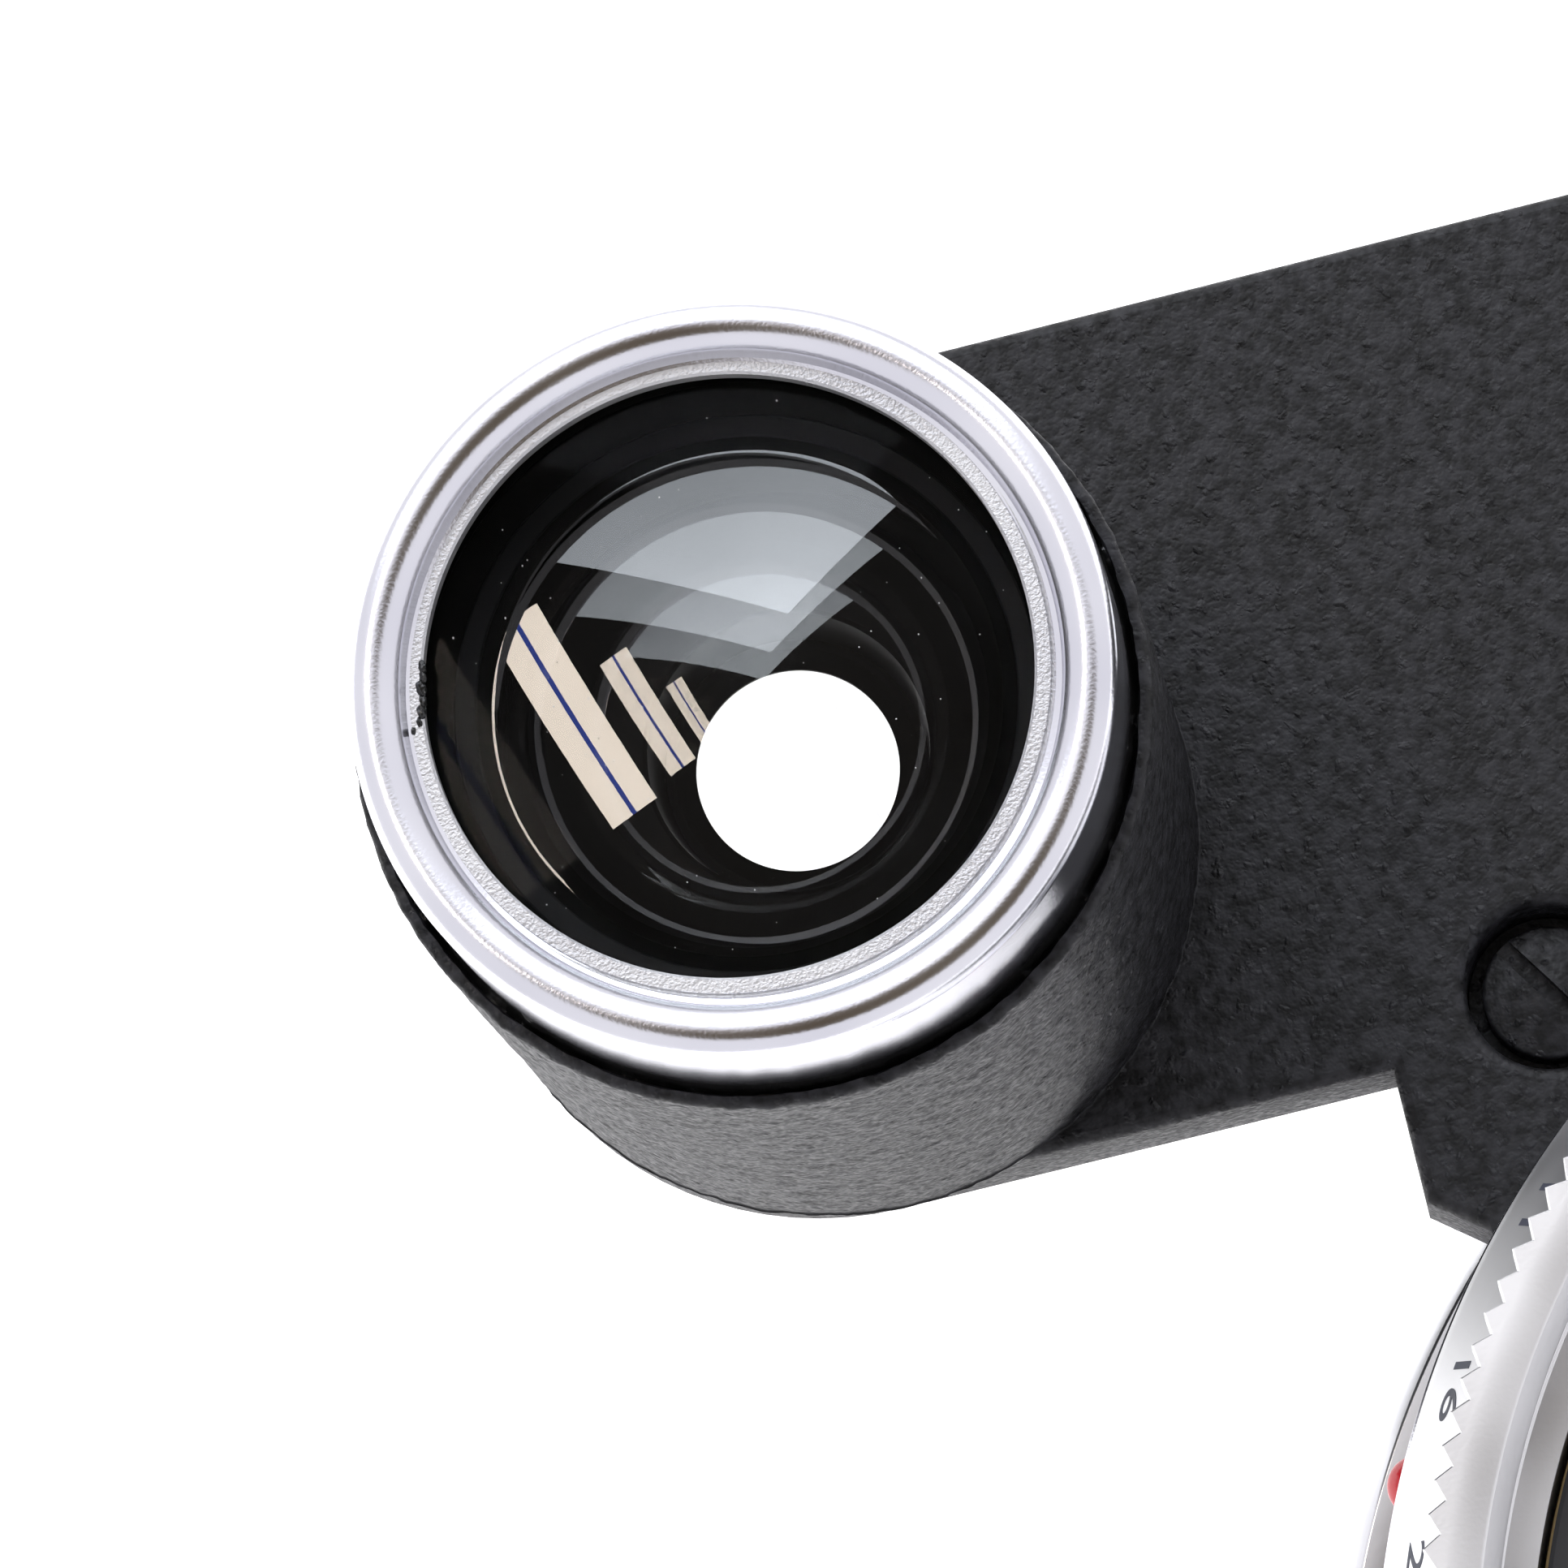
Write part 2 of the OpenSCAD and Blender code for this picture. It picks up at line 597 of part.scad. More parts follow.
module lens_carrier() {
    color(brass) difference() {
        turned([[carrier_bore_r, -3], [carrier_r, -3], [carrier_r, scale_z0 - 0.1], [carrier_head_r, scale_z0 - 0.1],
                [carrier_head_r, 22], [carrier_bore_r, 22], [carrier_bore_r, 19.3], [11.5, 19.3], [11.5, 16.9],
                [carrier_bore_r, 16.9]]);
        rotate([0, 0, link_angle - aperture_turn - 5]) rotate_extrude(angle = aperture_turn + 10)
            translate([14, link_z - 0.8]) square([6, 1.6]);
        rotate([0, 0, click_angle]) translate([16.2, 0, link_z]) rotate([0, 90, 0]) cylinder(r = 0.75, h = 4);
        rotate([0, 0, 270]) translate([carrier_bore_r - 1, -1.6, -3 - cut]) cube([4, 3.2, 5.5 + cut]);
        for (a = [90:120:330]) rotate([0, 0, a]) translate([17.2, 0, 17.5]) rotate([0, 90, 0])
            cylinder(r = 0.5 + fit, h = 4);
    }
}

// The key that stops the carrier turning, fixed in the mount and sliding in the carrier's groove.
module guide_key() {
    color(brass) rotate([0, 0, 270]) translate([carrier_bore_r + 0.3, -1.49, -2.59])
        cube([19.6 - carrier_bore_r - 0.3, 2.98, 3.18]);
}

module rangefinder_cam() {
    color(brass) difference() {
        ring(carrier_r - 0.1, 16.3, -5.2, -3);
        rotate([0, 0, 270]) translate([15, -2.2, -6]) cube([4, 4.4, 8]);
    }
}

module scale_ring() {
    color(silver) difference() {
        turned([[carrier_head_r + fit, scale_z0], [helicoid_r + 0.15, scale_z0], [helicoid_r + 0.15, 11.8],
                [helicoid_r + 0.7, 11.8], [helicoid_r + 0.7, scale_z0], [scale_r, scale_z0],
                [scale_r, scale_z1], [carrier_head_r + fit, scale_z1]]);
        for (a = [90:120:330]) rotate([0, 0, a]) translate([17.2, 0, 17.5]) rotate([0, 90, 0])
            cylinder(r = 0.5 + fit, h = 6);
    }
}

module scale_screws() {
    color(steel) for (a = [90:120:330]) rotate([0, 0, a]) translate([17.3, 0, 17.5]) rotate([0, 90, 0])
        difference() {
            cylinder(r = 0.5, h = 4.4);
            translate([-0.12, -1, 4.1]) cube([0.24, 2, 1]);
        }
}

// ---- iris and aperture ring ----

module aperture_ring() {
    notches = aperture_turn / click_step;
    color(silver) difference() {
        union() {
            turned([[15, skirt_z], [skirt_r, skirt_z], [skirt_r, skirt_z + 0.5], [20.45, knurl_z - 0.1],
                    [20.45, lens_top - 0.6], [15, lens_top - 0.6]]);
            knurl(knurl_r, knurl_depth, knurl_teeth, knurl_z, lens_top);
        }
        turned([[0, skirt_z - cut], [ring_bore_r, skirt_z - cut], [ring_bore_r, 23.9], [filter_r, 23.9],
                [filter_r, 26.65], [19.6, lens_top], [19.6, lens_top + cut], [0, lens_top + cut]]);
        for (i = [0:notches]) rotate([0, 0, click_angle + i * click_step]) translate([ring_bore_r + 0.2, 0, 20])
            cylinder(r = 0.4, h = 1.4);
        rotate([0, 0, link_angle]) translate([18, 0, link_z]) rotate([0, 90, 0]) cylinder(r = 0.5 + fit, h = 2.2);
    }
}

module aperture_link() {
    color(steel) rotate([0, 0, link_angle]) translate([11.3, 0, link_z]) rotate([0, 90, 0])
        cylinder(r = 0.5, h = 8.8);
}

module click_ball() {
    color(steel) rotate([0, 0, click_angle]) translate([carrier_head_r - 0.65, 0, link_z]) sphere(r = 0.7);
}

module click_spring() {
    color(steel) rotate([0, 0, click_angle]) translate([16.22, 0, link_z]) rotate([0, 90, 0]) {
        for (z = [0, 0.24, 0.48]) ring(0.6, 0.4, z, z + 0.16);
        translate([0.45, -0.05, 0]) cube([0.1, 0.1, 0.6]);
    }
}

module iris_base() {
    color(black) turned([[iris_open_r - 0.2, iris_z], [11.45, iris_z], [11.45, iris_z + 1.85],
                         [10.5, iris_z + 1.85], [10.5, iris_z + 0.4], [iris_open_r - 0.2, iris_z + 0.4]]);
}

module iris_drive_ring() {
    z0 = iris_z + 1.95;
    color(black) difference() {
        union() {
            ring(11.2, 6.2, z0, z0 + 0.7);
            rotate([0, 0, link_angle]) translate([10, -1.4, z0 + 0.3]) cube([1.28, 2.8, link_z + 0.7 - z0 - 0.3]);
        }
        for (i = [0:blade_count - 1]) rotate([0, 0, i * 360 / blade_count + 18])
            translate([6.9, -0.35, z0 - cut]) cube([2.6, 0.7, 3]);
    }
}

// One blade, lying in its own layer: a flat arc with round ends, turning about the hole near its tail.
module iris_blade(i) {
    mid = iris_open_r + blade_w / 2;
    z = iris_z + 0.45 + i * blade_pitch;
    color("#2b2b2e") rotate([0, 0, i * 360 / blade_count]) difference() {
        union() {
            rotate([0, 0, -blade_tail]) rotate_extrude(angle = blade_tail + blade_reach)
                translate([iris_open_r, z]) square([blade_w, blade_t]);
            for (a = [-blade_tail, blade_reach]) rotate([0, 0, a]) post([mid, 0], blade_w / 2, z, z + blade_t);
        }
        post([blade_pivot_r, 0], 0.35, z - cut, z + blade_t + cut);
    }
}

// ---- glass and cells ----

module front_bezel() {
    color(black) turned([[8.7, 23.25], [9.5, 23.25], [9.5, 22.4], [15.5, 22.4], [15.5, 22.02], [18.35, 22.02],
                         [18.35, 23.7], [17.6, 23.7], [16.8, 23.2], [10.6, 23.65], [8.7, 23.85]]);
}

module front_cell() {
    color(black) turned([[7.7, 21.5], [15.4, 21.5], [15.4, 22.3], [9.4, 22.3], [9.4, 23.2], [8.2, 23.2],
                         [8.2, 21.88], [7.7, 21.88]]);
}

module front_element() {
    front_curve = 29.5;
    hollow_curve = 32.2;
    hollow_z = 22.95;
    color(glass) difference() {
        lens_blank(8.15, 21.9, 22.6, front_curve, 0);
        translate([0, 0, hollow_z - hollow_curve]) sphere(r = hollow_curve);
    }
}

// Two glasses cemented together: the crown in front, and the hollowed flint behind it.
module front_doublet() {
    joint_curve = 60;
    joint_z = 21.3;
    color(glass) {
        lens_blank(7.6, joint_z, joint_z + 0.25, 40, joint_curve);
        difference() {
            translate([0, 0, joint_z - 1]) cylinder(r = 7.6, h = 1 - fit);
            cap_ball(7.6, joint_curve, joint_z - fit, 1);
        }
    }
}

module rear_doublet() {
    split = 15.5;
    color(glass) {
        lens_blank(6.6, split + 0.01, split + 1.2, -14, 0);
        intersection() {
            lens_blank(6.6, 14.2, split, 0, 18);
            cylinder(r = 20, h = split - 0.01);
        }
    }
}

module rear_element() {
    color(glass) lens_blank(7.2, 10, 11.6, 30, 24);
}

module rear_cell() {
    color(black) turned([[6.7, 13.2], [6.7, 16.85], [15.5, 16.85], [15.5, 15.9], [9, 15.9], [9, 8.4], [6.6, 8.4],
                         [6.9, 8.9], [7.3, 9.3], [7.3, 12.6]]);
}

finder_plate();
rear_housing();
window_ring();
rangefinder_front_lens();
rangefinder_front_spacer();
rangefinder_inner_lens();
rangefinder_spacer();
rangefinder_baffle();
rangefinder_rear_lens();
rangefinder_retainer();
viewfinder_front_frame();
viewfinder_front_lens();
viewfinder_light_box();
viewfinder_rear_lens();
viewfinder_rear_frame();
bracket_screws();
housing_screws();
bridge_bracket();
bridge_screws();
locating_pins();
bayonet_mount();
index_bead();
mount_screws();
mount_body();
focus_ring();
focus_helicoid();
helicoid_screws();
focus_lever();
lever_screws();
lock_button();
lock_spring();
infinity_catch();
lens_carrier();
guide_key();
rangefinder_cam();
scale_ring();
scale_screws();
aperture_ring();
aperture_link();
click_ball();
click_spring();
iris_base();
iris_drive_ring();
front_bezel();
front_cell();
front_element();
front_doublet();
rear_doublet();
rear_element();
rear_cell();
for (i = [1:blade_count]) iris_blade(i - 1);
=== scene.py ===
import json
import math

import bmesh
import bpy
import numpy as np
from mathutils import Matrix, Vector, noise

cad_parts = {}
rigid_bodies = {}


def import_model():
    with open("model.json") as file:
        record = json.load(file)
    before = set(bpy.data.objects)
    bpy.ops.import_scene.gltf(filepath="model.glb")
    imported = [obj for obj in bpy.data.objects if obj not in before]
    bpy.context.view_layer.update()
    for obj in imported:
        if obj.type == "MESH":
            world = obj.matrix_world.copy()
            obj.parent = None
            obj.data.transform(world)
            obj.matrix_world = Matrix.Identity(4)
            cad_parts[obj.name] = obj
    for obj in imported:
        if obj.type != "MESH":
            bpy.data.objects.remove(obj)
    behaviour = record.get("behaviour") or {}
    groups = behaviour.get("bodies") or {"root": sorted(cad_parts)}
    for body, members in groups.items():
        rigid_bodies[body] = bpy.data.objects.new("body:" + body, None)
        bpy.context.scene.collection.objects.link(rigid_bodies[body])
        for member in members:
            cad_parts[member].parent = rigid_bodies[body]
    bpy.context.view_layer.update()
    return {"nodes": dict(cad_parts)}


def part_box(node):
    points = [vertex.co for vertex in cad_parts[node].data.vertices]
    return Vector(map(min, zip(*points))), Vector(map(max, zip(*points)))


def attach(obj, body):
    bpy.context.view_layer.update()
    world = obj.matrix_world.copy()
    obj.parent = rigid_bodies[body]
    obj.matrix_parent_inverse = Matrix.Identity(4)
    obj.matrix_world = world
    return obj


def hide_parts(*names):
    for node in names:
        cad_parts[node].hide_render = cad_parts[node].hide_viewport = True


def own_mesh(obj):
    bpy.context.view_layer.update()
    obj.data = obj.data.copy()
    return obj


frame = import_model()
nodes = frame["nodes"]
mm = 0.001
scene = bpy.context.scene


def boxMm(node):
    low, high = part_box(node)
    return np.array(low) / mm, np.array(high) / mm


def middleMm(node):
    low, high = boxMm(node)
    return (low + high) / 2


print("frame loaded:", len(nodes), "nodes")

# ---- mesh helpers, all sizes in millimetres ----


def roundLoop(points, radius, steps=4):  # softens the corners of a closed outline
    out = []
    count = len(points)
    for i in range(count):
        before, here, after = (Vector(points[k % count]) for k in (i - 1, i, i + 1))
        r = radius[i] if isinstance(radius, (list, tuple)) else radius
        toBefore, toAfter = before - here, after - here
        reach = min(toBefore.length, toAfter.length) * 0.48
        turnAngle = toBefore.angle(toAfter, math.pi)
        if r <= 0 or turnAngle > math.radians(165):
            out.append(tuple(here))
            continue
        cut = min(r / math.tan(turnAngle / 2), reach)
        start = here + toBefore.normalized() * cut
        end = here + toAfter.normalized() * cut
        for k in range(steps + 1):
            t = k / steps
            out.append(tuple(start * (1 - t) ** 2 + here * 2 * t * (1 - t) + end * t * t))
    return out


def arcPoints(centre, radius, fromDeg, toDeg, steps):
    return [around(a, radius, centre) for a in np.linspace(fromDeg, toDeg, steps + 1)]


def roundRect(width, height, radius, steps=8):
    x, y = width / 2 - radius, height / 2 - radius
    points = []
    for cx, cy, start in ((x, y, 0), (-x, y, 90), (-x, -y, 180), (x, -y, 270)):
        points += arcPoints((cx, cy), radius, start, start + 90, steps)
    return points


def addObject(name, data):
    thing = bpy.data.objects.new(name, data)
    scene.collection.objects.link(thing)
    return thing


def meshOf(thing):  # the mesh a curve or a cut piece ends up with; the thing itself goes
    bpy.context.view_layer.update()
    mesh = bpy.data.meshes.new_from_object(thing.evaluated_get(bpy.context.evaluated_depsgraph_get()))
    bpy.data.objects.remove(thing)
    return mesh


def weld(mesh, distance):  # joins points that meet and turns every face outwards
    bm = bmesh.new()
    bm.from_mesh(mesh)
    bmesh.ops.remove_doubles(bm, verts=bm.verts, dist=distance)
    bmesh.ops.recalc_face_normals(bm, faces=bm.faces)
    bm.to_mesh(mesh)
    bm.free()


def finishMesh(name, verts, faces, sharpAngle=32):
    mesh = bpy.data.meshes.new(name)
    mesh.from_pydata([Vector(v) * mm for v in verts], [], faces)
    weld(mesh, 1e-8)
    smoothMesh(mesh, sharpAngle)
    return mesh


def smoothMesh(mesh, sharpAngle=32):
    mesh.shade_smooth()
    mesh.set_sharp_from_angle(angle=math.radians(sharpAngle))


def skin(name, loops, sharpAngle=32):  # a closed surface led through loops of points; a loop of one point is a tip
    verts, faces, rings = [], [], []
    count = max(len(loop) for loop in loops)
    for loop in loops:
        rings.append([len(verts) + (k if len(loop) > 1 else 0) for k in range(count)])
        verts += loop
    for low, high in zip(rings, rings[1:] + rings[:1]):
        for k in range(count):
            j = (k + 1) % count
            face = list(dict.fromkeys([low[k], low[j], high[j], high[k]]))
            if len(face) > 2:
                faces.append(face)
    return finishMesh(name, verts, faces, sharpAngle)


def circleOutline(at, radius, steps=64):
    return [around(360 * k / steps, radius, at) for k in range(steps)]


def offset(point, by):
    return point[0] + by[0], point[1] + by[1]


def shifted(points, at):
    return [offset(point, at) for point in points]


def around(angleDeg, radius, centre=(0, 0)):  # a point at that angle and distance from the centre
    a = math.radians(angleDeg)
    return centre[0] + radius * math.cos(a), centre[1] + radius * math.sin(a)


def turned(name, profile, centre=(0, 0), segments=288, sharpAngle=32):  # a lathe: (radius, height) outline
    loops = [[(x, y, z) for x, y in (circleOutline(centre, r, segments) if r > 1e-6 else [centre])] for r, z in profile]
    return skin(name, loops, sharpAngle)


def framed(name, width, height, radius, profile, centre):  # a profile of (inset, height) led round a rounded rectangle
    loops = []
    for inset, z in profile:
        outline = roundRect(width - 2 * inset, height - 2 * inset, max(radius - inset, 0.05))
        loops.append([(x, y, z) for x, y in shifted(outline, centre)])
    return skin(name, loops)


def plateFromOutlines(name, outlines, z0, z1, edge):  # a flat plate with holes and rounded edges
    curve = bpy.data.curves.new(name + "Curve", "CURVE")
    curve.dimensions = "2D"
    curve.fill_mode = "BOTH"
    curve.extrude = ((z1 - z0) / 2 - edge) * mm
    curve.bevel_depth = edge * mm
    curve.bevel_resolution = 3
    curve.offset = -edge * mm
    for outline in outlines:
        spline = curve.splines.new("POLY")
        spline.points.add(len(outline) - 1)
        for point, (x, y) in zip(spline.points, outline):
            point.co = (x * mm, y * mm, 0, 1)
        spline.use_cyclic_u = True
    mesh = meshOf(addObject(name + "Curve", curve))
    bpy.data.curves.remove(curve)
    mesh.transform(Matrix.Translation((0, 0, (z0 + z1) / 2 * mm)))
    weld(mesh, 2e-7)
    mesh.name = name
    smoothMesh(mesh, 30)
    for face in mesh.polygons:
        if abs(face.normal.z) > 0.999:
            face.use_smooth = False
    return mesh


def joinMeshes(name, meshes):
    bm = bmesh.new()
    for mesh in meshes:
        bm.from_mesh(mesh)
    joined = bpy.data.meshes.new(name)
    bm.to_mesh(joined)
    bm.free()
    smoothMesh(joined)
    return joined


def placePiece(name, mesh, body, look, *replaced):
    mesh.materials.clear()
    mesh.materials.append(finish[look])
    piece = addObject(name, mesh)
    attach(piece, body)
    if replaced:
        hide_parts(*replaced)
    return piece


def placeFramed(name, width, height, radius, profile, centre, look, *replaced):
    return placePiece(name, framed(name, width, height, radius, profile, centre), "mount", look, *replaced)


def placeTurned(name, profile, centre, segments, body, look, *replaced, sharp=32):
    return placePiece(name, turned(name, profile, centre, segments, sharp), body, look, *replaced)


def cutAway(mesh, cutters):  # takes closed cutters out of a closed mesh
    work, tool = addObject("work", mesh), addObject("tool", joinMeshes("tool", cutters))
    step = work.modifiers.new("cut", "BOOLEAN")
    step.operation, step.solver, step.use_self, step.object = "DIFFERENCE", "EXACT", True, tool
    cutMesh = meshOf(work)
    bpy.data.objects.remove(tool)
    smoothMesh(cutMesh)
    return cutMesh


def rod(name, radius, z0, z1, at, sides=48):
    return turned(name, [(0, z0), (radius, z0), (radius, z1), (0, z1)], at, sides)


def bar(name, length, width, z0, z1, at, turnDeg):
    c, s = math.cos(math.radians(turnDeg)), math.sin(math.radians(turnDeg))
    corners = [(-length / 2, -width / 2), (length / 2, -width / 2), (length / 2, width / 2), (-length / 2, width / 2)]
    verts = [(at[0] + x * c - y * s, at[1] + x * s + y * c, z) for z in (z0, z1) for x, y in corners]
    faces = [[0, 1, 2, 3], [4, 5, 6, 7]] + [[k, (k + 1) % 4, 4 + (k + 1) % 4, 4 + k] for k in range(4)]
    return finishMesh(name, verts, faces)


# ---- shader helpers ----


def nodeGroup(name, inputs, outputs):
    group = bpy.data.node_groups.new(name, "ShaderNodeTree")
    for label, kind, value in inputs:
        socket = group.interface.new_socket(label, in_out="INPUT", socket_type=kind)
        if value is not None:
            socket.default_value = value
    for label, kind in outputs:
        group.interface.new_socket(label, in_out="OUTPUT", socket_type=kind)
    return group, group.nodes.new("NodeGroupInput"), group.nodes.new("NodeGroupOutput")


def feed(tree, socket, value):  # a number or a colour is set, an output is linked
    if isinstance(value, bpy.types.NodeSocket):
        tree.links.new(value, socket)
    elif value is not None:
        socket.default_value = (*value, 1) if isinstance(value, tuple) else value


def mathNode(tree, operation, a, b):
    node = tree.nodes.new("ShaderNodeMath")
    node.operation = operation
    feed(tree, node.inputs[0], a)
    feed(tree, node.inputs[1], b)
    return node.outputs[0]


def spread(tree, value, fromLow, fromHigh, toLow, toHigh):
    node = tree.nodes.new("ShaderNodeMapRange")
    labels = ("Value", "From Min", "From Max", "To Min", "To Max")
    for label, number in zip(labels, (value, fromLow, fromHigh, toLow, toHigh)):
        feed(tree, node.inputs[label], number)
    return node.outputs["Result"]


def mixColour(tree, factor, first, second):
    node = tree.nodes.new("ShaderNodeMix")
    node.data_type = "RGBA"
    for place, value in ((0, factor), (6, first), (7, second)):  # the colour sockets are 6 and 7
        feed(tree, node.inputs[place], value)
    return node.outputs[2]


def texture(tree, kind, scale, detail=2.0, where=None):
    node = tree.nodes.new(kind)
    feed(tree, node.inputs["Vector"], where or tree.nodes.new("ShaderNodeTexCoord").outputs["Object"])
    feed(tree, node.inputs["Scale"], scale)
    if "Detail" in node.inputs:
        node.inputs["Detail"].default_value = detail
    return node


def along(tree, where, direction):  # how far a position or direction lies along another
    node = tree.nodes.new("ShaderNodeVectorMath")
    node.operation = "DOT_PRODUCT"
    tree.links.new(tree.nodes.new("ShaderNodeTexCoord").outputs[where], node.inputs[0])
    node.inputs[1].default_value = direction
    return node.outputs["Value"]


def giveOut(group, result, **values):
    for label, value in values.items():
        group.links.new(value, result.inputs[label])
    return group


def makeGrain():  # fine even grain of a blasted or turned surface
    group, given, result = nodeGroup(
        "surfaceGrain",
        [("Scale", "NodeSocketFloat", 9000.0), ("Low", "NodeSocketFloat", 0.25), ("High", "NodeSocketFloat", 0.4)],
        [("Height", "NodeSocketFloat"), ("Roughness", "NodeSocketFloat"), ("Tone", "NodeSocketFloat")])
    fine = texture(group, "ShaderNodeTexNoise", given.outputs["Scale"], 1)
    broad = texture(group, "ShaderNodeTexNoise", 260.0, 1)
    return giveOut(group, result, Height=fine.outputs["Fac"],
                   Tone=spread(group, broad.outputs["Fac"], 0.35, 0.65, 0.0, 1.0),
                   Roughness=spread(group, broad.outputs["Fac"], 0.3, 0.7, given.outputs["Low"], given.outputs["High"]))


def makeCrinkle():  # the raised cells of crinkle enamel
    group, given, result = nodeGroup(
        "crinkleCells",
        [("Cell Scale", "NodeSocketFloat", 2300.0), ("Fine Scale", "NodeSocketFloat", 7000.0)],
        [("Height", "NodeSocketFloat"), ("Tone", "NodeSocketFloat"), ("Roughness", "NodeSocketFloat")])
    warp = texture(group, "ShaderNodeTexNoise", 1500.0, 0)
    place, bend = group.nodes.new("ShaderNodeTexCoord"), group.nodes.new("ShaderNodeVectorMath")
    bend.operation = "MULTIPLY_ADD"
    group.links.new(warp.outputs["Color"], bend.inputs[0])
    bend.inputs[1].default_value = (0.0003, 0.0003, 0.0003)
    group.links.new(place.outputs["Object"], bend.inputs[2])
    cells = texture(group, "ShaderNodeTexVoronoi", given.outputs["Cell Scale"], where=bend.outputs[0])
    fine = texture(group, "ShaderNodeTexNoise", given.outputs["Fine Scale"], 1)
    mid = texture(group, "ShaderNodeTexNoise", 2600.0, 1)
    ridge = spread(group, cells.outputs["Distance"], 0.0, 0.7, 1.0, 0.0)
    height = mathNode(group, "ADD", ridge, mathNode(group, "MULTIPLY", fine.outputs["Fac"], 0.35))
    return giveOut(group, result, Height=height, Tone=spread(group, mid.outputs["Fac"], 0.35, 0.65, 0.0, 1.0),
                   Roughness=spread(group, fine.outputs["Fac"], 0.3, 0.7, 0.38, 0.62))


def makeDust():  # sparse pale specks
    group, given, result = nodeGroup(
        "dustSpecks", [("Scale", "NodeSocketFloat", 900.0), ("Size", "NodeSocketFloat", 0.07)],
        [("Mask", "NodeSocketFloat")])
    cells = texture(group, "ShaderNodeTexVoronoi", given.outputs["Scale"])
    near = mathNode(group, "LESS_THAN", cells.outputs["Distance"], given.outputs["Size"])
    pick = texture(group, "ShaderNodeTexNoise", 330.0, 1)
    few = mathNode(group, "GREATER_THAN", pick.outputs["Fac"], 0.58)
    return giveOut(group, result, Mask=mathNode(group, "MULTIPLY", near, few))


grainGroup, crinkleGroup, dustGroup = makeGrain(), makeCrinkle(), makeDust()


def placeGroup(tree, group, **values):
    node = tree.nodes.new("ShaderNodeGroup")
    node.node_tree = group
    for label, value in values.items():
        node.inputs[label.replace("_", " ")].default_value = value
    return node


def newMaterial(name, **sockets):
    material = bpy.data.materials.new(name)
    material.use_nodes = True
    shader = material.node_tree.nodes["Principled BSDF"]
    for label, value in sockets.items():
        shader.inputs[label.replace("_", " ")].default_value = value
    return material, material.node_tree, shader


def addBump(tree, shader, height, distance, strength):
    bump = tree.nodes.new("ShaderNodeBump")
    bump.inputs["Distance"].default_value = distance * mm
    bump.inputs["Strength"].default_value = strength
    tree.links.new(height, bump.inputs["Height"])
    tree.links.new(bump.outputs["Normal"], shader.inputs["Normal"])


def metalFinish(name, dark, light, low, high, scale, depth, strength=0.5, metallic=1.0, gleam=0.5):
    material, tree, shader = newMaterial(name, Metallic=metallic, Specular_IOR_Level=gleam)
    grain = placeGroup(tree, grainGroup, Scale=scale, Low=low, High=high)
    tree.links.new(mixColour(tree, grain.outputs["Tone"], dark, light), shader.inputs["Base Color"])
    tree.links.new(grain.outputs["Roughness"], shader.inputs["Roughness"])
    addBump(tree, shader, grain.outputs["Height"], depth, strength)
    return material


def crinkleFinish(name, dark, light, depth, strength):
    material, tree, shader = newMaterial(name, Specular_IOR_Level=0.33)
    cells = placeGroup(tree, crinkleGroup)
    dust = placeGroup(tree, dustGroup, Scale=420.0, Size=0.05)
    tone = mixColour(tree, cells.outputs["Tone"], dark, light)
    tree.links.new(mixColour(tree, dust.outputs["Mask"], tone, (0.12, 0.12, 0.12)), shader.inputs["Base Color"])
    tree.links.new(cells.outputs["Roughness"], shader.inputs["Roughness"])
    addBump(tree, shader, cells.outputs["Height"], depth, strength)
    return material


def glassFinish(name, tint, clear, index, gleam=1.0):  # a low gleam is a good coating
    material, tree, shader = newMaterial(name, Roughness=0.0, IOR=index, Transmission_Weight=1.0,
                                         Specular_Tint=(gleam, gleam, gleam, 1))
    streak = texture(tree, "ShaderNodeTexNoise", 300.0, 3)
    tree.links.new(mixColour(tree, streak.outputs["Fac"], tint, clear), shader.inputs["Base Color"])
    return material


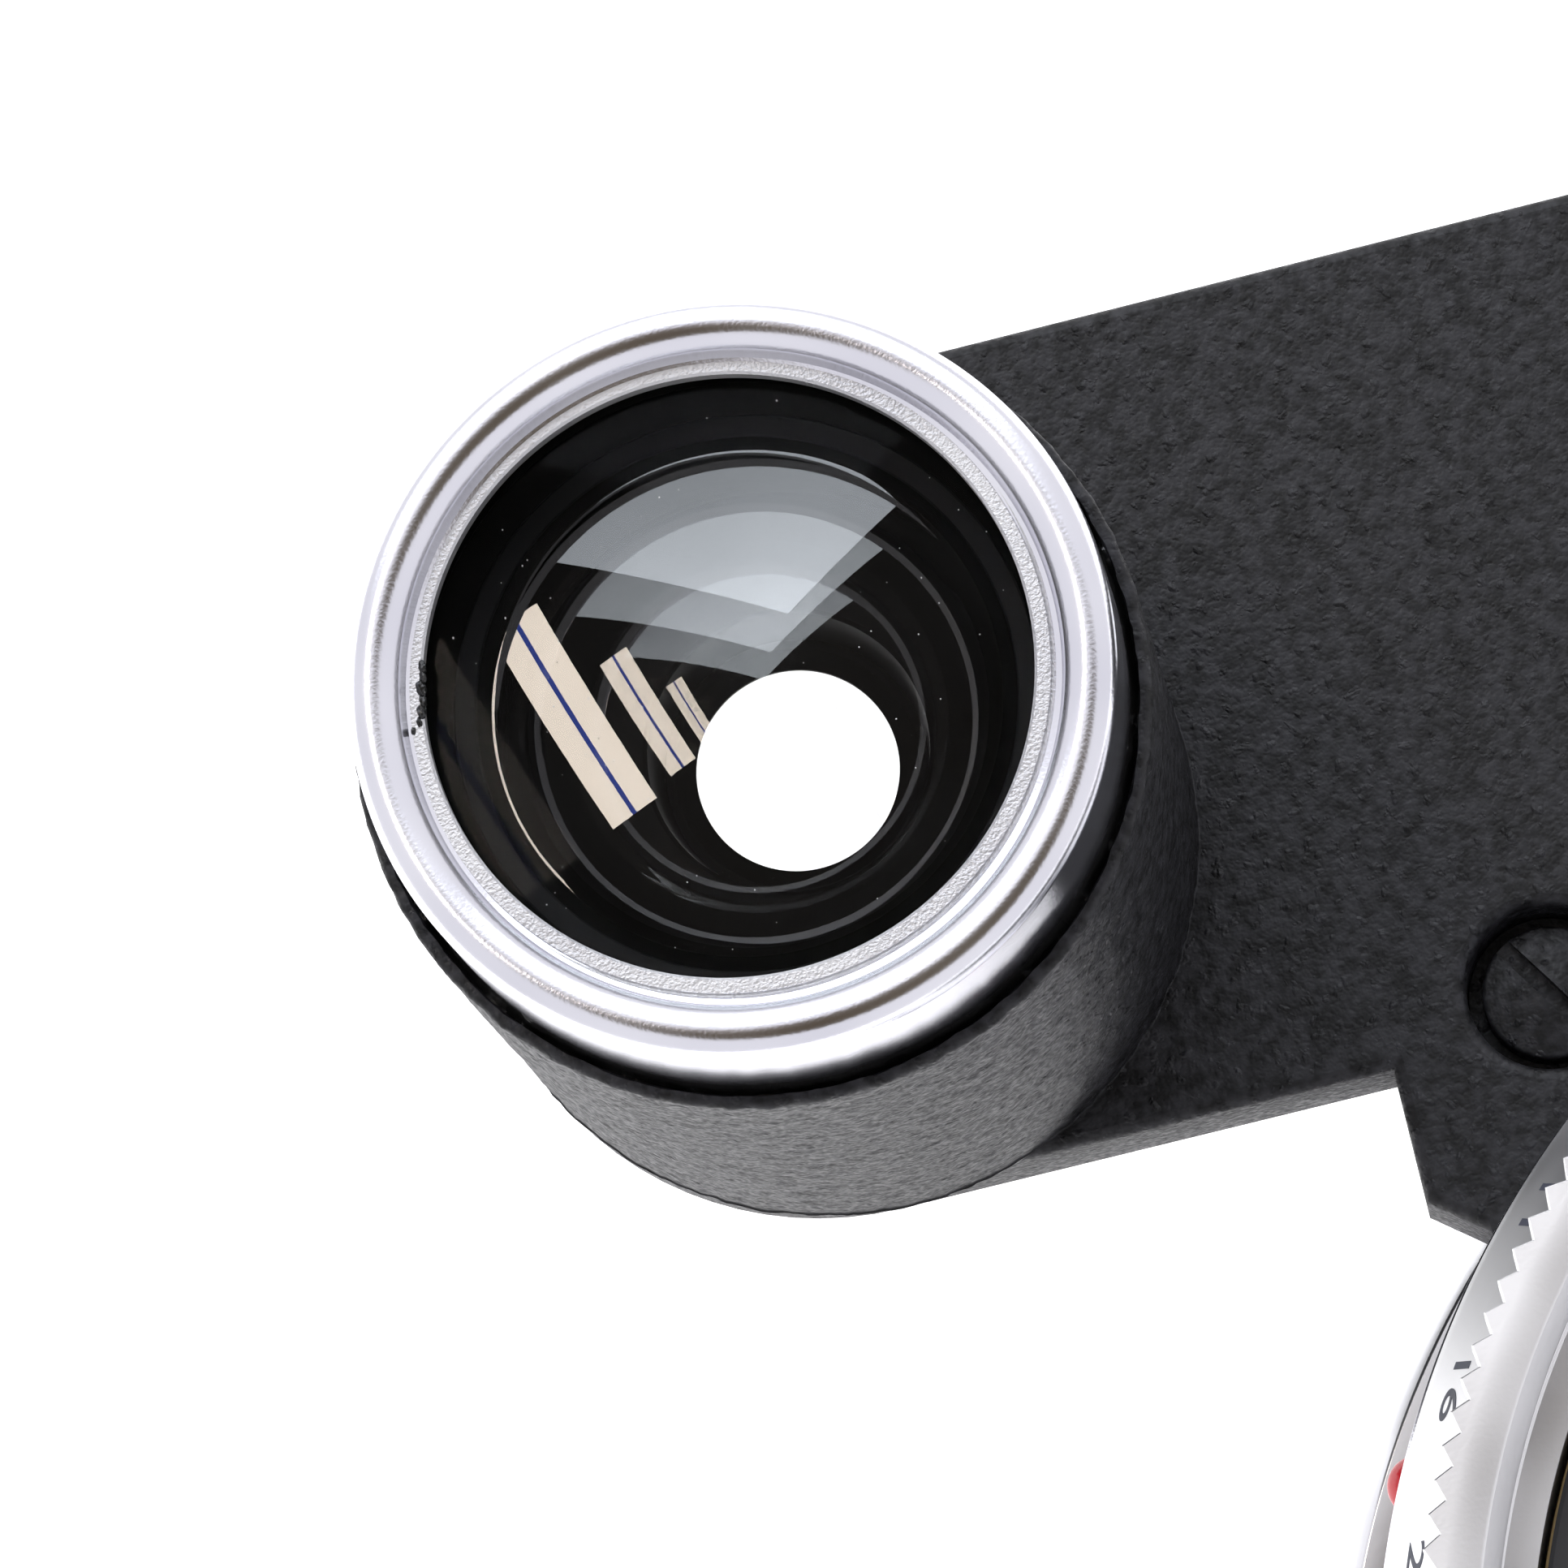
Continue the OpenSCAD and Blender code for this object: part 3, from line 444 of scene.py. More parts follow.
metals = {  # name, dark and light colour, roughness from and to, grain scale and depth, bump, metallic, gleam
    "satin": ("satinSilver", (0.70, 0.70, 0.76), (0.78, 0.78, 0.83), 0.17, 0.22, 12000.0, 0.004, 0.6),
    "blasted": ("blastedLip", (0.52, 0.52, 0.54), (0.62, 0.62, 0.63), 0.42, 0.5, 15000.0, 0.02, 1.0),
    "bright": ("brightSatin", (0.86, 0.86, 0.87), (0.93, 0.93, 0.94), 0.36, 0.44, 8000.0, 0.004),
    "chrome": ("brightChrome", (0.74, 0.74, 0.76), (0.83, 0.83, 0.85), 0.08, 0.2, 3000.0, 0.002, 0.3),
    "brass": ("turnedBrass", (0.60, 0.44, 0.20), (0.74, 0.57, 0.30), 0.22, 0.36, 5000.0, 0.004),
    "steel": ("screwSteel", (0.42, 0.42, 0.44), (0.6, 0.6, 0.62), 0.25, 0.4, 6000.0, 0.004),
    "blade": ("bladeBlack", (0.02, 0.02, 0.024), (0.04, 0.04, 0.05), 0.32, 0.5, 4000.0, 0.003, 0.4, 0.6),
    "flatBlack": ("flatBlack", (0.003, 0.003, 0.003), (0.008, 0.008, 0.007), 0.5, 0.7, 5000.0, 0.01, 0.4, 0.0, 0.12),
    "edgeBlack": ("edgeBlacking", (0.018, 0.018, 0.02), (0.026, 0.026, 0.028), 0.4, 0.5, 4000.0, 0.008, 0.4, 0.0, 0.2),
    "satinBlack": ("satinBlackTrim", (0.015, 0.015, 0.016), (0.028, 0.028, 0.03), 0.3, 0.45, 6000.0, 0.006, 0.4, 0.0),
    "red": ("redBead", (0.5, 0.01, 0.02), (0.62, 0.02, 0.03), 0.1, 0.2, 1500.0, 0.004, 0.3, 0.0),
    "paint": ("engravingPaint", (0.02, 0.024, 0.04), (0.045, 0.05, 0.075), 0.5, 0.7, 5000.0, 0.004, 0.4, 0.0),
    # near-black gloss for the glue drips and for the dark ring of painted shade that fills the gap round the window
    # ring
    "glueAndGapShade": ("gapShadeBlack", (0.006, 0.006, 0.006), (0.012, 0.012, 0.012), 0.08, 0.25, 2500.0, 0.02, 0.5, 0.0),
    "dust": ("dustFleck", (0.6, 0.6, 0.6), (0.8, 0.8, 0.8), 0.7, 0.9, 5000.0, 0.01, 0.4, 0.0),
}
finish = {look: metalFinish(*values) for look, values in metals.items()}
finish["crinkle"] = crinkleFinish("crinkleEnamel", (0.0015, 0.0015, 0.002), (0.02, 0.02, 0.023), 0.09, 0.8)
finish["glass"] = glassFinish("windowGlass", (0.985, 0.985, 0.98), (1.0, 1.0, 0.995), 1.7)
finish["quietGlass"] = glassFinish("coatedFace", (0.985, 0.985, 0.98), (1.0, 1.0, 0.995), 1.7, 0.02)
finish["coating"] = glassFinish("purpleCoating", (0.92, 0.90, 0.95), (0.97, 0.96, 0.99), 1.62)
print("materials made:", len(finish))

# ---- where things are, from the frame ----

ringLow, ringHigh = boxMm("window_ring")
windowAt = tuple(middleMm("window_ring")[:2])
plateLow, plateHigh = boxMm("finder_plate")
frameLow, frameHigh = boxMm("viewfinder_front_frame")
viewAt = tuple(middleMm("viewfinder_front_frame")[:2])
plateFront = boxMm("bracket_screws")[1][2] + 0.6
plateBack = boxMm("rear_housing")[1][2]


# ---- round window ----

windowRing = {"crest": 0.55, "lipDrop": 0.75, "lipR": 7.0, "openR": 6.7, "shankR": 7.68, "boreR": 7.15, "seatZ": 27.95,
              "lipShift": (-0.09, 0.15)}


def makeWindowRing():
    v = windowRing
    outer, top = (ringHigh[0] - ringLow[0]) / 2, ringHigh[2]
    lip = top - v["lipDrop"]
    wall = [(v["boreR"], ringLow[2]), (v["shankR"], ringLow[2]), (v["shankR"], v["seatZ"]), (outer, v["seatZ"] + 0.06)]
    wall += arcPoints((outer - v["crest"], top - v["crest"]), v["crest"], 0, 90, 10)
    wall += arcPoints((outer - v["crest"] - 0.05, top - 0.62), 0.62, 90, 150, 8)
    wall += [(outer - 1.13, top - 0.42), (outer - 1.2, lip + 0.1), (outer - 1.24, lip + 0.02), (v["lipR"], lip - 0.05)]
    ring = turned("windowRing", wall + [(v["lipR"], lip - 0.5), (v["boreR"], lip - 0.5)], windowAt, 512)
    placePiece("windowRing", ring, "mount", "satin", "window_ring")
    lipRun = [(7.28, lip - 0.1), (7.13, lip - 0.01), (7.08, lip - 0.045), (7.05, lip - 0.01),
              (v["openR"] + 0.06, lip - 0.012), (v["openR"], lip - 0.06), (v["openR"], lip - 0.42),
              (v["openR"] + 0.12, lip - 0.45), (7.28, lip - 0.45)]
    at = offset(windowAt, v["lipShift"])
    placeTurned("windowRingLip", lipRun, at, 512, "mount", "blasted")


windowGlass = {"glassR": 7.1, "frontCurve": 60, "edgeZ": 31.7, "backZ": 28.2, "bowlR": 5.55, "bowlCurve": 37.7,
               "innerFront": 18.56, "innerApex": 28.35, "innerHollow": 11.78, "innerHollowApex": 27.19,
               "innerRimZ": 25.16, "rearZ": 16.7, "rearT": 1.7, "rearCurve": 32}


def domeArc(radius, apexZ, rim, inwards, steps=40):  # outline of a ball's cap from rim to axis, or back
    points = []
    for k in range(steps + 1):
        r = rim * (1 - k / steps)
        points.append((r, apexZ - radius + math.sqrt(radius * radius - r * r)))
    return points if inwards else points[::-1]


def makeWindowGlass():
    v = windowGlass
    frontApex = v["edgeZ"] + v["frontCurve"] - math.sqrt(v["frontCurve"] ** 2 - v["glassR"] ** 2)
    bowlApex = v["backZ"] + v["bowlCurve"] - math.sqrt(v["bowlCurve"] ** 2 - v["bowlR"] ** 2)
    outline = [(v["glassR"], v["backZ"])] + domeArc(v["frontCurve"], frontApex, v["glassR"], True)
    outline += domeArc(v["bowlCurve"], bowlApex, v["bowlR"], False)
    front = placeTurned("windowFrontGlass", outline, windowAt, 256, "mount", "glass", "rangefinder_front_lens",
                        sharp=20)
    front.data.materials.append(finish["quietGlass"])
    for face in front.data.polygons:
        wide = math.hypot(face.center.x / mm - windowAt[0], face.center.y / mm - windowAt[1])
        face.material_index = int(face.center.z > (v["edgeZ"] - 0.3) * mm or wide > v["bowlR"])
    hollowR = math.sqrt(v["innerHollow"] ** 2 - (v["innerRimZ"] - v["innerHollowApex"] + v["innerHollow"]) ** 2)
    outline = [(7.1, v["innerRimZ"])] + domeArc(v["innerFront"], v["innerApex"], 7.1, True)
    outline += domeArc(v["innerHollow"], v["innerHollowApex"], hollowR, False)
    placeTurned("windowInnerGlass", outline, windowAt, 256, "mount", "glass", "rangefinder_inner_lens", sharp=20)
    sag = v["rearCurve"] - math.sqrt(v["rearCurve"] ** 2 - 7.3 ** 2)
    front = domeArc(v["rearCurve"], v["rearZ"] + v["rearT"] + sag, 7.3, True)
    back = [(r, 2 * v["rearZ"] + v["rearT"] - z) for r, z in front[::-1]]
    placeTurned("windowRearGlass", front + back, windowAt, 192, "mount", "glass", "rangefinder_rear_lens", sharp=20)


windowInside = {"greyInner": 5.85, "greyOuter": 6.35, "stopR": 2.74, "boreR": 3.5, "stopShift": (0.34, -0.1)}


def makeWindowInside():
    v, glass = windowInside, windowGlass
    back = glass["backZ"]
    black = [(glass["bowlR"] - 0.01, back - 0.02), (glass["bowlR"] + 0.25, back - 0.06), (7.09, back - 0.06),
             (7.09, back - 0.55), (6.35, back - 0.55), (glass["bowlR"] + 0.1, back - 0.2)]
    placeTurned("windowFrontSpacer", black, windowAt, 256, "mount", "flatBlack", "rangefinder_front_spacer")
    grey = [(v["greyInner"], back - 0.05), (v["greyInner"] + 0.04, back - 0.012), (v["greyOuter"] - 0.04, back - 0.012),
            (v["greyOuter"], back - 0.05)]
    placeTurned("windowEdgeBlacking", grey, windowAt, 256, "mount", "edgeBlack")
    low, high = boxMm("rangefinder_spacer")
    tube = [(6.6, low[2])] + [(6.9 if k % 2 else 6.62, low[2] + 0.25 + 0.125 * k) for k in range(19)]
    tube += [(6.65, high[2]), (7.1, high[2]), (7.1, 24), (7.6, 24), (7.6, low[2])]
    placeTurned("windowSpacer", tube, windowAt, 192, "mount", "flatBlack", "rangefinder_spacer")
    low, high = boxMm("rangefinder_baffle")
    disc = [(v["stopR"], low[2] + 0.08), (v["stopR"] + 0.06, low[2]), (7.3, low[2]), (7.3, high[2]),
            (v["boreR"] + 0.1, high[2]), (v["boreR"], high[2] - 0.1), (v["boreR"], low[2] + 0.55),
            (v["stopR"] + 0.5, low[2] + 0.55), (v["stopR"], low[2] + 0.2)]
    at = offset(windowAt, v["stopShift"])
    placeTurned("windowStop", disc, at, 256, "mount", "edgeBlack", "rangefinder_baffle")
    low, high = boxMm("rangefinder_retainer")
    nut = roundLoop([(5.4, low[2]), (7.6, low[2]), (7.6, high[2]), (7.25, high[2]), (7.1, high[2] - 0.2),
                     (5.4, high[2] - 1.6)], 0.08, 2)
    placeTurned("windowRetainer", nut, windowAt, 160, "mount", "flatBlack", "rangefinder_retainer")


# the two gap radii and the gap height place a dark uneven ring of painted shade between the window ring and the barrel
windowMarks = {"seed": 5, "flecks": 70, "gapShadeR": (8.42, 8.66), "gapShadeZ": 28.15, "drips": (
    (164.5, 0, 0.1), (166.5, -0.02, 0.09), (168.5, 0.03, 0.13), (171, 0, 0.1), (173, 0.05, 0.12), (175, 0.12, 0.08),
    (176.4, 0.28, 0.07))}  # angle, distance out, size


def lump(name, at, size, squash, seed, rings=10, sides=18):  # a small uneven bead of glue or dust
    loops = []
    for i in range(rings + 1):
        polar, loop = math.pi * i / rings, []
        for k in range(sides if 0 < i < rings else 1):
            a = 2 * math.pi * k / sides
            way = Vector((math.sin(polar) * math.cos(a), math.sin(polar) * math.sin(a), math.cos(polar)))
            reach = size * (1 + 0.35 * noise.noise(way * 1.7 + Vector((seed, 0, 0))))
            loop.append(tuple(at[j] + way[j] * reach * squash[j] for j in range(3)))
        loops.append(loop)
    return skin(name, loops, 60)


def makeWindowMarks():
    v, glass = windowMarks, windowGlass
    lip = ringHigh[2] - windowRing["lipDrop"]
    drips = []
    for k, (angle, out, size) in enumerate(v["drips"]):
        at = around(angle, windowRing["openR"] + out, offset(windowAt, windowRing["lipShift"]))
        drips.append(lump("drip", (*at, lip - 0.03), size, (0.9, 1.5, 0.8), k * 3.1))
    placePiece("glueDrips", joinMeshes("glueDrips", drips), "mount", "glueAndGapShade")
    # a dark uneven ring in the gap between the window ring and the barrel: painted shade, a black sheet standing in for
    # the shadow in that gap
    loops, steps = [], 360
    for inner, z in ((v["gapShadeR"][0] - 0.2, -0.3), (v["gapShadeR"][0], 0.75), (v["gapShadeR"][0] + 0.05, 0.5),
                     (v["gapShadeR"][1] - 0.1, 0.2), (v["gapShadeR"][1], 0.35), (v["gapShadeR"][1] + 0.02, -0.3)):
        loop = []
        for k in range(steps):
            a = 2 * math.pi * k / steps
            way = Vector((math.cos(a), math.sin(a), z))
            uneven = noise.noise(way * 9) + 0.6 * noise.noise(way * 31)
            rise = v["gapShadeZ"] + z + (0.22 * uneven if z > 0 else 0)
            reach = inner + (0.03 * noise.noise(way * 17) if 0 < z < 0.7 else 0)
            loop.append((windowAt[0] + reach * way.x, windowAt[1] + reach * way.y, rise))
        loops.append(loop)
    placePiece("gapShadeBlack", skin("gapShadeBlack", loops, 60), "mount", "glueAndGapShade")
    random = np.random.default_rng(v["seed"])
    centreZ = glass["edgeZ"] - math.sqrt(glass["frontCurve"] ** 2 - glass["glassR"] ** 2)
    flecks = []
    for k in range(v["flecks"]):
        a, r = random.uniform(0, 2 * math.pi), 6.4 * math.sqrt(random.uniform(0, 1))
        z = centreZ + math.sqrt(glass["frontCurve"] ** 2 - r * r)
        size = random.uniform(0.008, 0.02)
        at = around(math.degrees(a), r, windowAt)
        flecks.append(lump("fleck", (*at, z), size, (1, random.uniform(0.7, 1.6), 0.7), k, 5, 8))
    placePiece("glassDust", joinMeshes("glassDust", flecks), "mount", "dust")


makeWindowRing()
makeWindowGlass()
makeWindowInside()
makeWindowMarks()
print("round window made")

# ---- finder casting ----

casting = {"edge": 0.28, "cornerR": (8.5, 4, 4, 6), "neckHalf": 17.66, "neckLow": 15.76, "neckChamfer": 1.3,
           "neckArcR": 22.5, "barrelR": 8.99, "barrelTop": 28.85, "mouthR": 8.62, "mouthZ": 27.95, "boreR": 7.7,
           "light": (5, 33, 22, 8), "windowHoleR": 7.75, "screwR": 1.98, "hoodTop": 21.4}
neckScrews = [(-13.58, 21.41), (13.58, 21.41)]


def plateOutline():  # the plate, its neck and the hollow that clears the lens, walked once round
    v = casting
    x0, y0, x1, y1 = plateLow[0], windowAt[1] - 8.5, plateHigh[0], plateHigh[1]
    half, low, arcR = v["neckHalf"], v["neckLow"], v["neckArcR"]
    footX = half - 1.25 * v["neckChamfer"]
    corners = v["cornerR"]
    points = arcPoints((x0 + corners[0], y0 + corners[0]), corners[0], 180, 270, 20)
    points += [(-half, y0), (-half, low + v["neckChamfer"])]
    meet = math.degrees(math.acos(max(-1, min(1, footX / arcR))))
    if arcR * math.sin(math.radians(meet)) < low:
        meet = math.degrees(math.asin(low / arcR))
    points += [(-footX, low)] + arcPoints((0, 0), arcR, 180 - meet, meet, 60) + [(footX, low)]
    points += [(half, low + v["neckChamfer"]), (half, y0)]
    return points + threeCorners(corners[1:], (x0, y0), (x1, y1), (12, 12, 16))


def threeCorners(radii, low, high, steps):  # the last three rounded corners of a plate, from the lower right round
    corners = ((high[0], low[1], 270), (high[0], high[1], 0), (low[0], high[1], 90))
    points = []
    for r, (x, y, start), count in zip(radii, corners, steps):
        centre = (x - r if x == high[0] else x + r, y - r if y == high[1] else y + r)
        points += arcPoints(centre, r, start, start + 90, count)
    return points


def makePlate():
    v = casting
    lightX, lightY, lightW, lightH = v["light"]
    holes = [circleOutline(windowAt, v["windowHoleR"], 128), shifted(roundRect(lightW, lightH, 1.5), (lightX, lightY)),
             shifted(roundRect(frameHigh[0] - frameLow[0] - 2.1, frameHigh[1] - frameLow[1] - 1.9, 1.6), viewAt)]
    holes += [circleOutline(at, v["screwR"]) for at in neckScrews]
    plate = plateFromOutlines("finderPlate", [plateOutline()] + holes, plateBack, plateFront, v["edge"])
    placePiece("finderPlate", plate, "mount", "crinkle", "finder_plate")
    for k, at in enumerate(neckScrews):
        seat = roundLoop([(1.15, plateBack), (v["screwR"] + 0.02, plateBack), (v["screwR"] + 0.02, plateFront - 1.9),
                          (1.15, plateFront - 1.9)], 0.05, 1)
        placePiece(f"neckScrewSeat{k + 1}", turned(f"neckScrewSeat{k + 1}", seat, at, 64), "mount", "crinkle")


crinkle = {"cellScale": 2.1, "cellLift": 0.05, "fineScale": 5.1, "fineLift": 0.02}


def crinkleHeight(x, y, z):  # how far the enamel stands proud, in millimetres
    v = crinkle
    cell = noise.noise(Vector((x, y, z)) * v["cellScale"])
    fine = noise.noise(Vector((x + 9, y, z)) * v["fineScale"])
    return v["cellLift"] * cell + v["fineLift"] * fine


def makeBarrel():
    v = casting
    step, segments = ((0.16, 420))
    outer, top = v["barrelR"] - 0.08, v["barrelTop"]
    wall = [(outer + 0.05 * (1 - math.sin(math.radians(a))), plateFront + 0.05 * (1 - math.cos(math.radians(a))))
            for a in (0, 20, 40, 60, 80)]
    wall += [(outer, plateFront + 0.6 + step * k) for k in range(int((top - plateFront - 1.0) / step) + 1)]
    wall += arcPoints((outer - 0.16, top - 0.2), 0.16, 0, 90, 4)
    inner = [(v["mouthR"] + 0.03, top - 0.06), (v["mouthR"], top - 0.16), (v["mouthR"], v["mouthZ"]),
             (v["boreR"] + 0.02, v["mouthZ"]), (v["boreR"] + 0.02, 18), (v["boreR"] + 0.02, plateFront - 1.2),
             (outer - 0.3, plateFront - 1.2), (outer, plateFront - 0.3)]
    mesh = turned("finderBarrel", wall + inner, windowAt, segments, 50)
    for vertex in mesh.vertices:
        x, y, z = vertex.co / mm
        away = Vector((x - windowAt[0], y - windowAt[1], 0))
        if away.length > v["mouthR"] + 0.01 and z > plateFront:
            lift = min(crinkleHeight(x, y, z), v["barrelR"] - 0.01 - away.length)
            vertex.co += away.normalized() * lift * mm
            if z > top - 0.25:
                vertex.co.z += (0.4 * lift - 0.02) * mm
    placePiece("finderBarrel", mesh, "mount", "crinkle")


def makeHood():
    width, height = frameHigh[0] - frameLow[0], frameHigh[1] - frameLow[1]
    top = casting["hoodTop"]
    outerW, outerH = width + 1.9, height + 1.7
    wall = roundLoop([(-0.45, plateFront - 1), (-0.45, plateFront + 0.05), (0, plateFront + 0.5), (0, top),
                      (0.9, top), (0.9, top - 1), (2, top - 1), (2, plateBack + 0.3), (1, plateBack + 0.3)],
                     [0, 0.2, 0.4, 0.2, 0.08, 0.05, 0.1, 0.1, 0], 4)
    placeFramed("viewfinderHood", outerW, outerH, 3, wall, viewAt, "crinkle")
    trim = roundLoop([(0, top - 1), (0, top + 0.5), (1.65, top + 0.5), (1.65, top - 0.2), (1.85, top - 1)],
                     [0.05, 0.25, 0.15, 0.1, 0.05], 3)
    placeFramed("viewfinderFrame", width, height, 2.1, trim, viewAt, "satinBlack", "viewfinder_front_frame")


neckScrew = {"turns": (-58, 24), "headR": 1.62, "headT": 1.15, "shankR": 1.1, "slotW": 0.42, "slotDepth": 0.5,
             "dome": 0.25}


def makeNeckScrews():
    v = neckScrew
    low, high = boxMm("bracket_screws")
    top = high[2] - 0.15
    parts = []
    for at, turnDeg in zip(neckScrews, v["turns"]):
        outline = roundLoop([(0, top - v["headT"]), (v["headR"], top - v["headT"]), (v["headR"], top - v["dome"]),
                             (0, top)], [0, 0.05, 0.12, 0], 4)
        slotBar = bar("slot", 2.6 * v["headR"], v["slotW"], top - v["slotDepth"], top + 1, at, turnDeg)
        parts.append(cutAway(turned("neckScrew", outline, at, 72), [slotBar]))
        parts.append(rod("neckScrewShank", v["shankR"], low[2], high[2] - 1.25, at))
    placePiece("neckScrews", joinMeshes("neckScrews", parts), "mount", "crinkle", "bracket_screws")


rearHousing = {"cornerR": (6, 1.5, 1.5, 3.5), "notchHalf": 17.2, "notchTop": 27.4, "eyeR": 6.6, "eyeW": 19,
               "eyeH": 12.6, "screwR": 1.54, "edge": 0.35}


def makeRearHousing():
    v = rearHousing
    low, high = boxMm("rear_housing")
    lightX, lightY, lightW, lightH = casting["light"]
    r, half, top = v["cornerR"][0], v["notchHalf"], v["notchTop"]
    points = arcPoints((low[0] + r, low[1] + r), r, 180, 270, 14)
    points += [(-half, low[1]), (-half, top), (half, top), (half, low[1])]
    points += threeCorners(v["cornerR"][1:], low, high, (8, 8, 10))
    holes = [circleOutline(windowAt, v["eyeR"], 96), shifted(roundRect(lightW, lightH, 1.5), (lightX, lightY)),
             shifted(roundRect(v["eyeW"], v["eyeH"], 1.5), viewAt)]
    holes += [circleOutline(at, v["screwR"], 40) for at in screwSpots(nodes["housing_screws"], 4)]
    mesh = plateFromOutlines("rearHousing", [points] + holes, low[2], high[2] - 0.02, v["edge"])
    placePiece("rearHousing", mesh, "mount", "crinkle", "rear_housing")


def screwSpots(screwNode, count):  # the middles of a node's separate screws, from its own vertices
    points = np.array([v.co for v in screwNode.data.vertices]) / mm
    spots = []
    for p in points:
        if all((p[0] - s[0]) ** 2 + (p[1] - s[1]) ** 2 > 9 for s in spots):
            spots.append(p[:2])
    out = []
    for s in spots:
        near = points[((points[:, 0] - s[0]) ** 2 + (points[:, 1] - s[1]) ** 2) < 12]
        out.append(tuple((near[:, :2].min(0) + near[:, :2].max(0)) / 2))
    return out[:count]


def cushion(name, width, height, radius, at, topZ, bottomZ, steps=14):  # a glass block with curved faces
    loops = [[(*at, topZ(0, 0))]]
    shares = [k / steps for k in range(1, steps + 1)]
    for zOf, order in ((topZ, shares), (bottomZ, shares[::-1])):
        for s in order:
            loops.append([(at[0] + x, at[1] + y, zOf(x, y)) for x, y in roundRect(width * s, height * s, radius * s)])
    return skin(name, loops + [[(*at, bottomZ(0, 0))]], 25)


def bulge(curve, apexZ):  # a ball's surface; a positive curve has its centre below
    def height(x, y):
        return apexZ - curve + math.copysign(math.sqrt(curve * curve - x * x - y * y), curve)
    return height


def makeSquareWindow():
    width, height = frameHigh[0] - frameLow[0] - 1.8, frameHigh[1] - frameLow[1] - 1.6
    low, high = boxMm("viewfinder_front_lens")
    glass = cushion("viewfinderFrontGlass", width, height, 1.4, viewAt, bulge(90, high[2]), bulge(34, low[2] + 1.7))
    placePiece("viewfinderFrontGlass", glass, "mount", "glass", "viewfinder_front_lens")
    low, high = boxMm("viewfinder_rear_lens")
    glass = cushion("viewfinderRearGlass", 18.8, 12.4, 1.4, viewAt, bulge(46, high[2]), lambda x, y: low[2])
    placePiece("viewfinderRearGlass", glass, "mount", "glass", "viewfinder_rear_lens")
    low, high = boxMm("viewfinder_light_box")
    ribs = [(1.5 if k % 2 else 1.25, low[2] + 0.4 + 0.3 * k) for k in range(int((high[2] - low[2] - 0.8) / 0.3))]
    walls = [(0, low[2]), (0, high[2]), (1.3, high[2])] + ribs[::-1] + [(1.3, low[2])]
    placeFramed("viewfinderLightBox", width, height, 1.5, walls, viewAt, "flatBlack", "viewfinder_light_box")
    low, high = boxMm("viewfinder_rear_frame")
    trim = roundLoop([(0, low[2]), (0, high[2]), (1.15, high[2]), (1.15, low[2] + 0.35), (0.8, low[2])], 0.08, 2)
    placeFramed("viewfinderRearFrame", 18.9, 12.5, 1.4, trim, viewAt, "satinBlack", "viewfinder_rear_frame")


makePlate()
makeBarrel()
makeHood()
makeNeckScrews()
makeRearHousing()
makeSquareWindow()
print("finder made")

# ---- mount and focusing ----


def arcBlock(name, outline, fromDeg, toDeg, steps=48):  # a closed (radius, height) outline led along part of a turn
    verts, faces, count = [], [], len(outline)
    for a in np.radians(np.linspace(fromDeg, toDeg, steps + 1)):
        verts += [(r * math.cos(a), r * math.sin(a), z) for r, z in outline]
    for k in range(steps):
        for i in range(count):
            j = (i + 1) % count
            faces.append([k * count + i, k * count + j, (k + 1) * count + j, (k + 1) * count + i])
    faces += [list(range(count)), list(range(steps * count, (steps + 1) * count))]
    return finishMesh(name, verts, faces)


def toothed(name, profile, teeth, depth, shares):  # a lathe whose (radius, height, bite) rings carry teeth
    loops, count = [], teeth * len(shares)
    for r, z, bite in profile:
        reach = [r - depth * bite * share for share in shares] * teeth
        angles = [2 * math.pi * k / count for k in range(count)]
        loops.append([(r * math.cos(a), r * math.sin(a), z) for r, a in zip(reach, angles)])
    return skin(name, loops, 24)


def wrapText(text, size, angleDeg, heightAt, surfaceR, sink=0.03, proud=0.012):  # lettering bent round the lens axis
    curve = bpy.data.curves.new("lettering", "FONT")
    curve.body = text
    curve.size = size
    curve.align_x, curve.align_y = "CENTER", "CENTER"
    curve.extrude = 0.5
    curve.resolution_u = 6
    mesh = meshOf(addObject("lettering", curve))
    bpy.data.curves.remove(curve)
    bm = bmesh.new()
    bm.from_mesh(mesh)
    bmesh.ops.subdivide_edges(bm, edges=[e for e in bm.edges if e.calc_length() > 0.25 * size], cuts=3)
    bmesh.ops.remove_doubles(bm, verts=bm.verts, dist=1e-5)
    for v in bm.verts:
        z = heightAt + v.co.y
        r = surfaceR(z) + (proud if v.co.z > 0 else -sink)
        a = math.radians(angleDeg) + v.co.x / surfaceR(z)
        v.co = (r * math.cos(a) * mm, r * math.sin(a) * mm, z * mm)
    bmesh.ops.recalc_face_normals(bm, faces=bm.faces)
    bm.to_mesh(mesh)
    bm.free()
    return mesh


def markLine(angleDeg, z0, z1, width, surfaceR, sink=0.03, proud=0.012):  # an engraved and filled line along the axis
    verts, faces = [], []
    for z in np.linspace(z0, z1, 5):
        r = surfaceR(z)
        for side in (-1, 0, 1):
            a = math.radians(angleDeg) + side * width / 2 / r
            verts += [((r - sink) * math.cos(a), (r - sink) * math.sin(a), z),
                      ((r + proud) * math.cos(a), (r + proud) * math.sin(a), z)]
    for k in range(4):
        low, high = 6 * k, 6 * (k + 1)
        for a, b in ((1, 3), (3, 5), (5, 4), (4, 2), (2, 0), (0, 1)):
            faces.append([low + a, low + b, high + b, high + a])
    faces += [[0, 1, 3, 2], [2, 3, 5, 4], [24, 25, 27, 26], [26, 27, 29, 28]]
    return finishMesh("markLine", verts, faces)


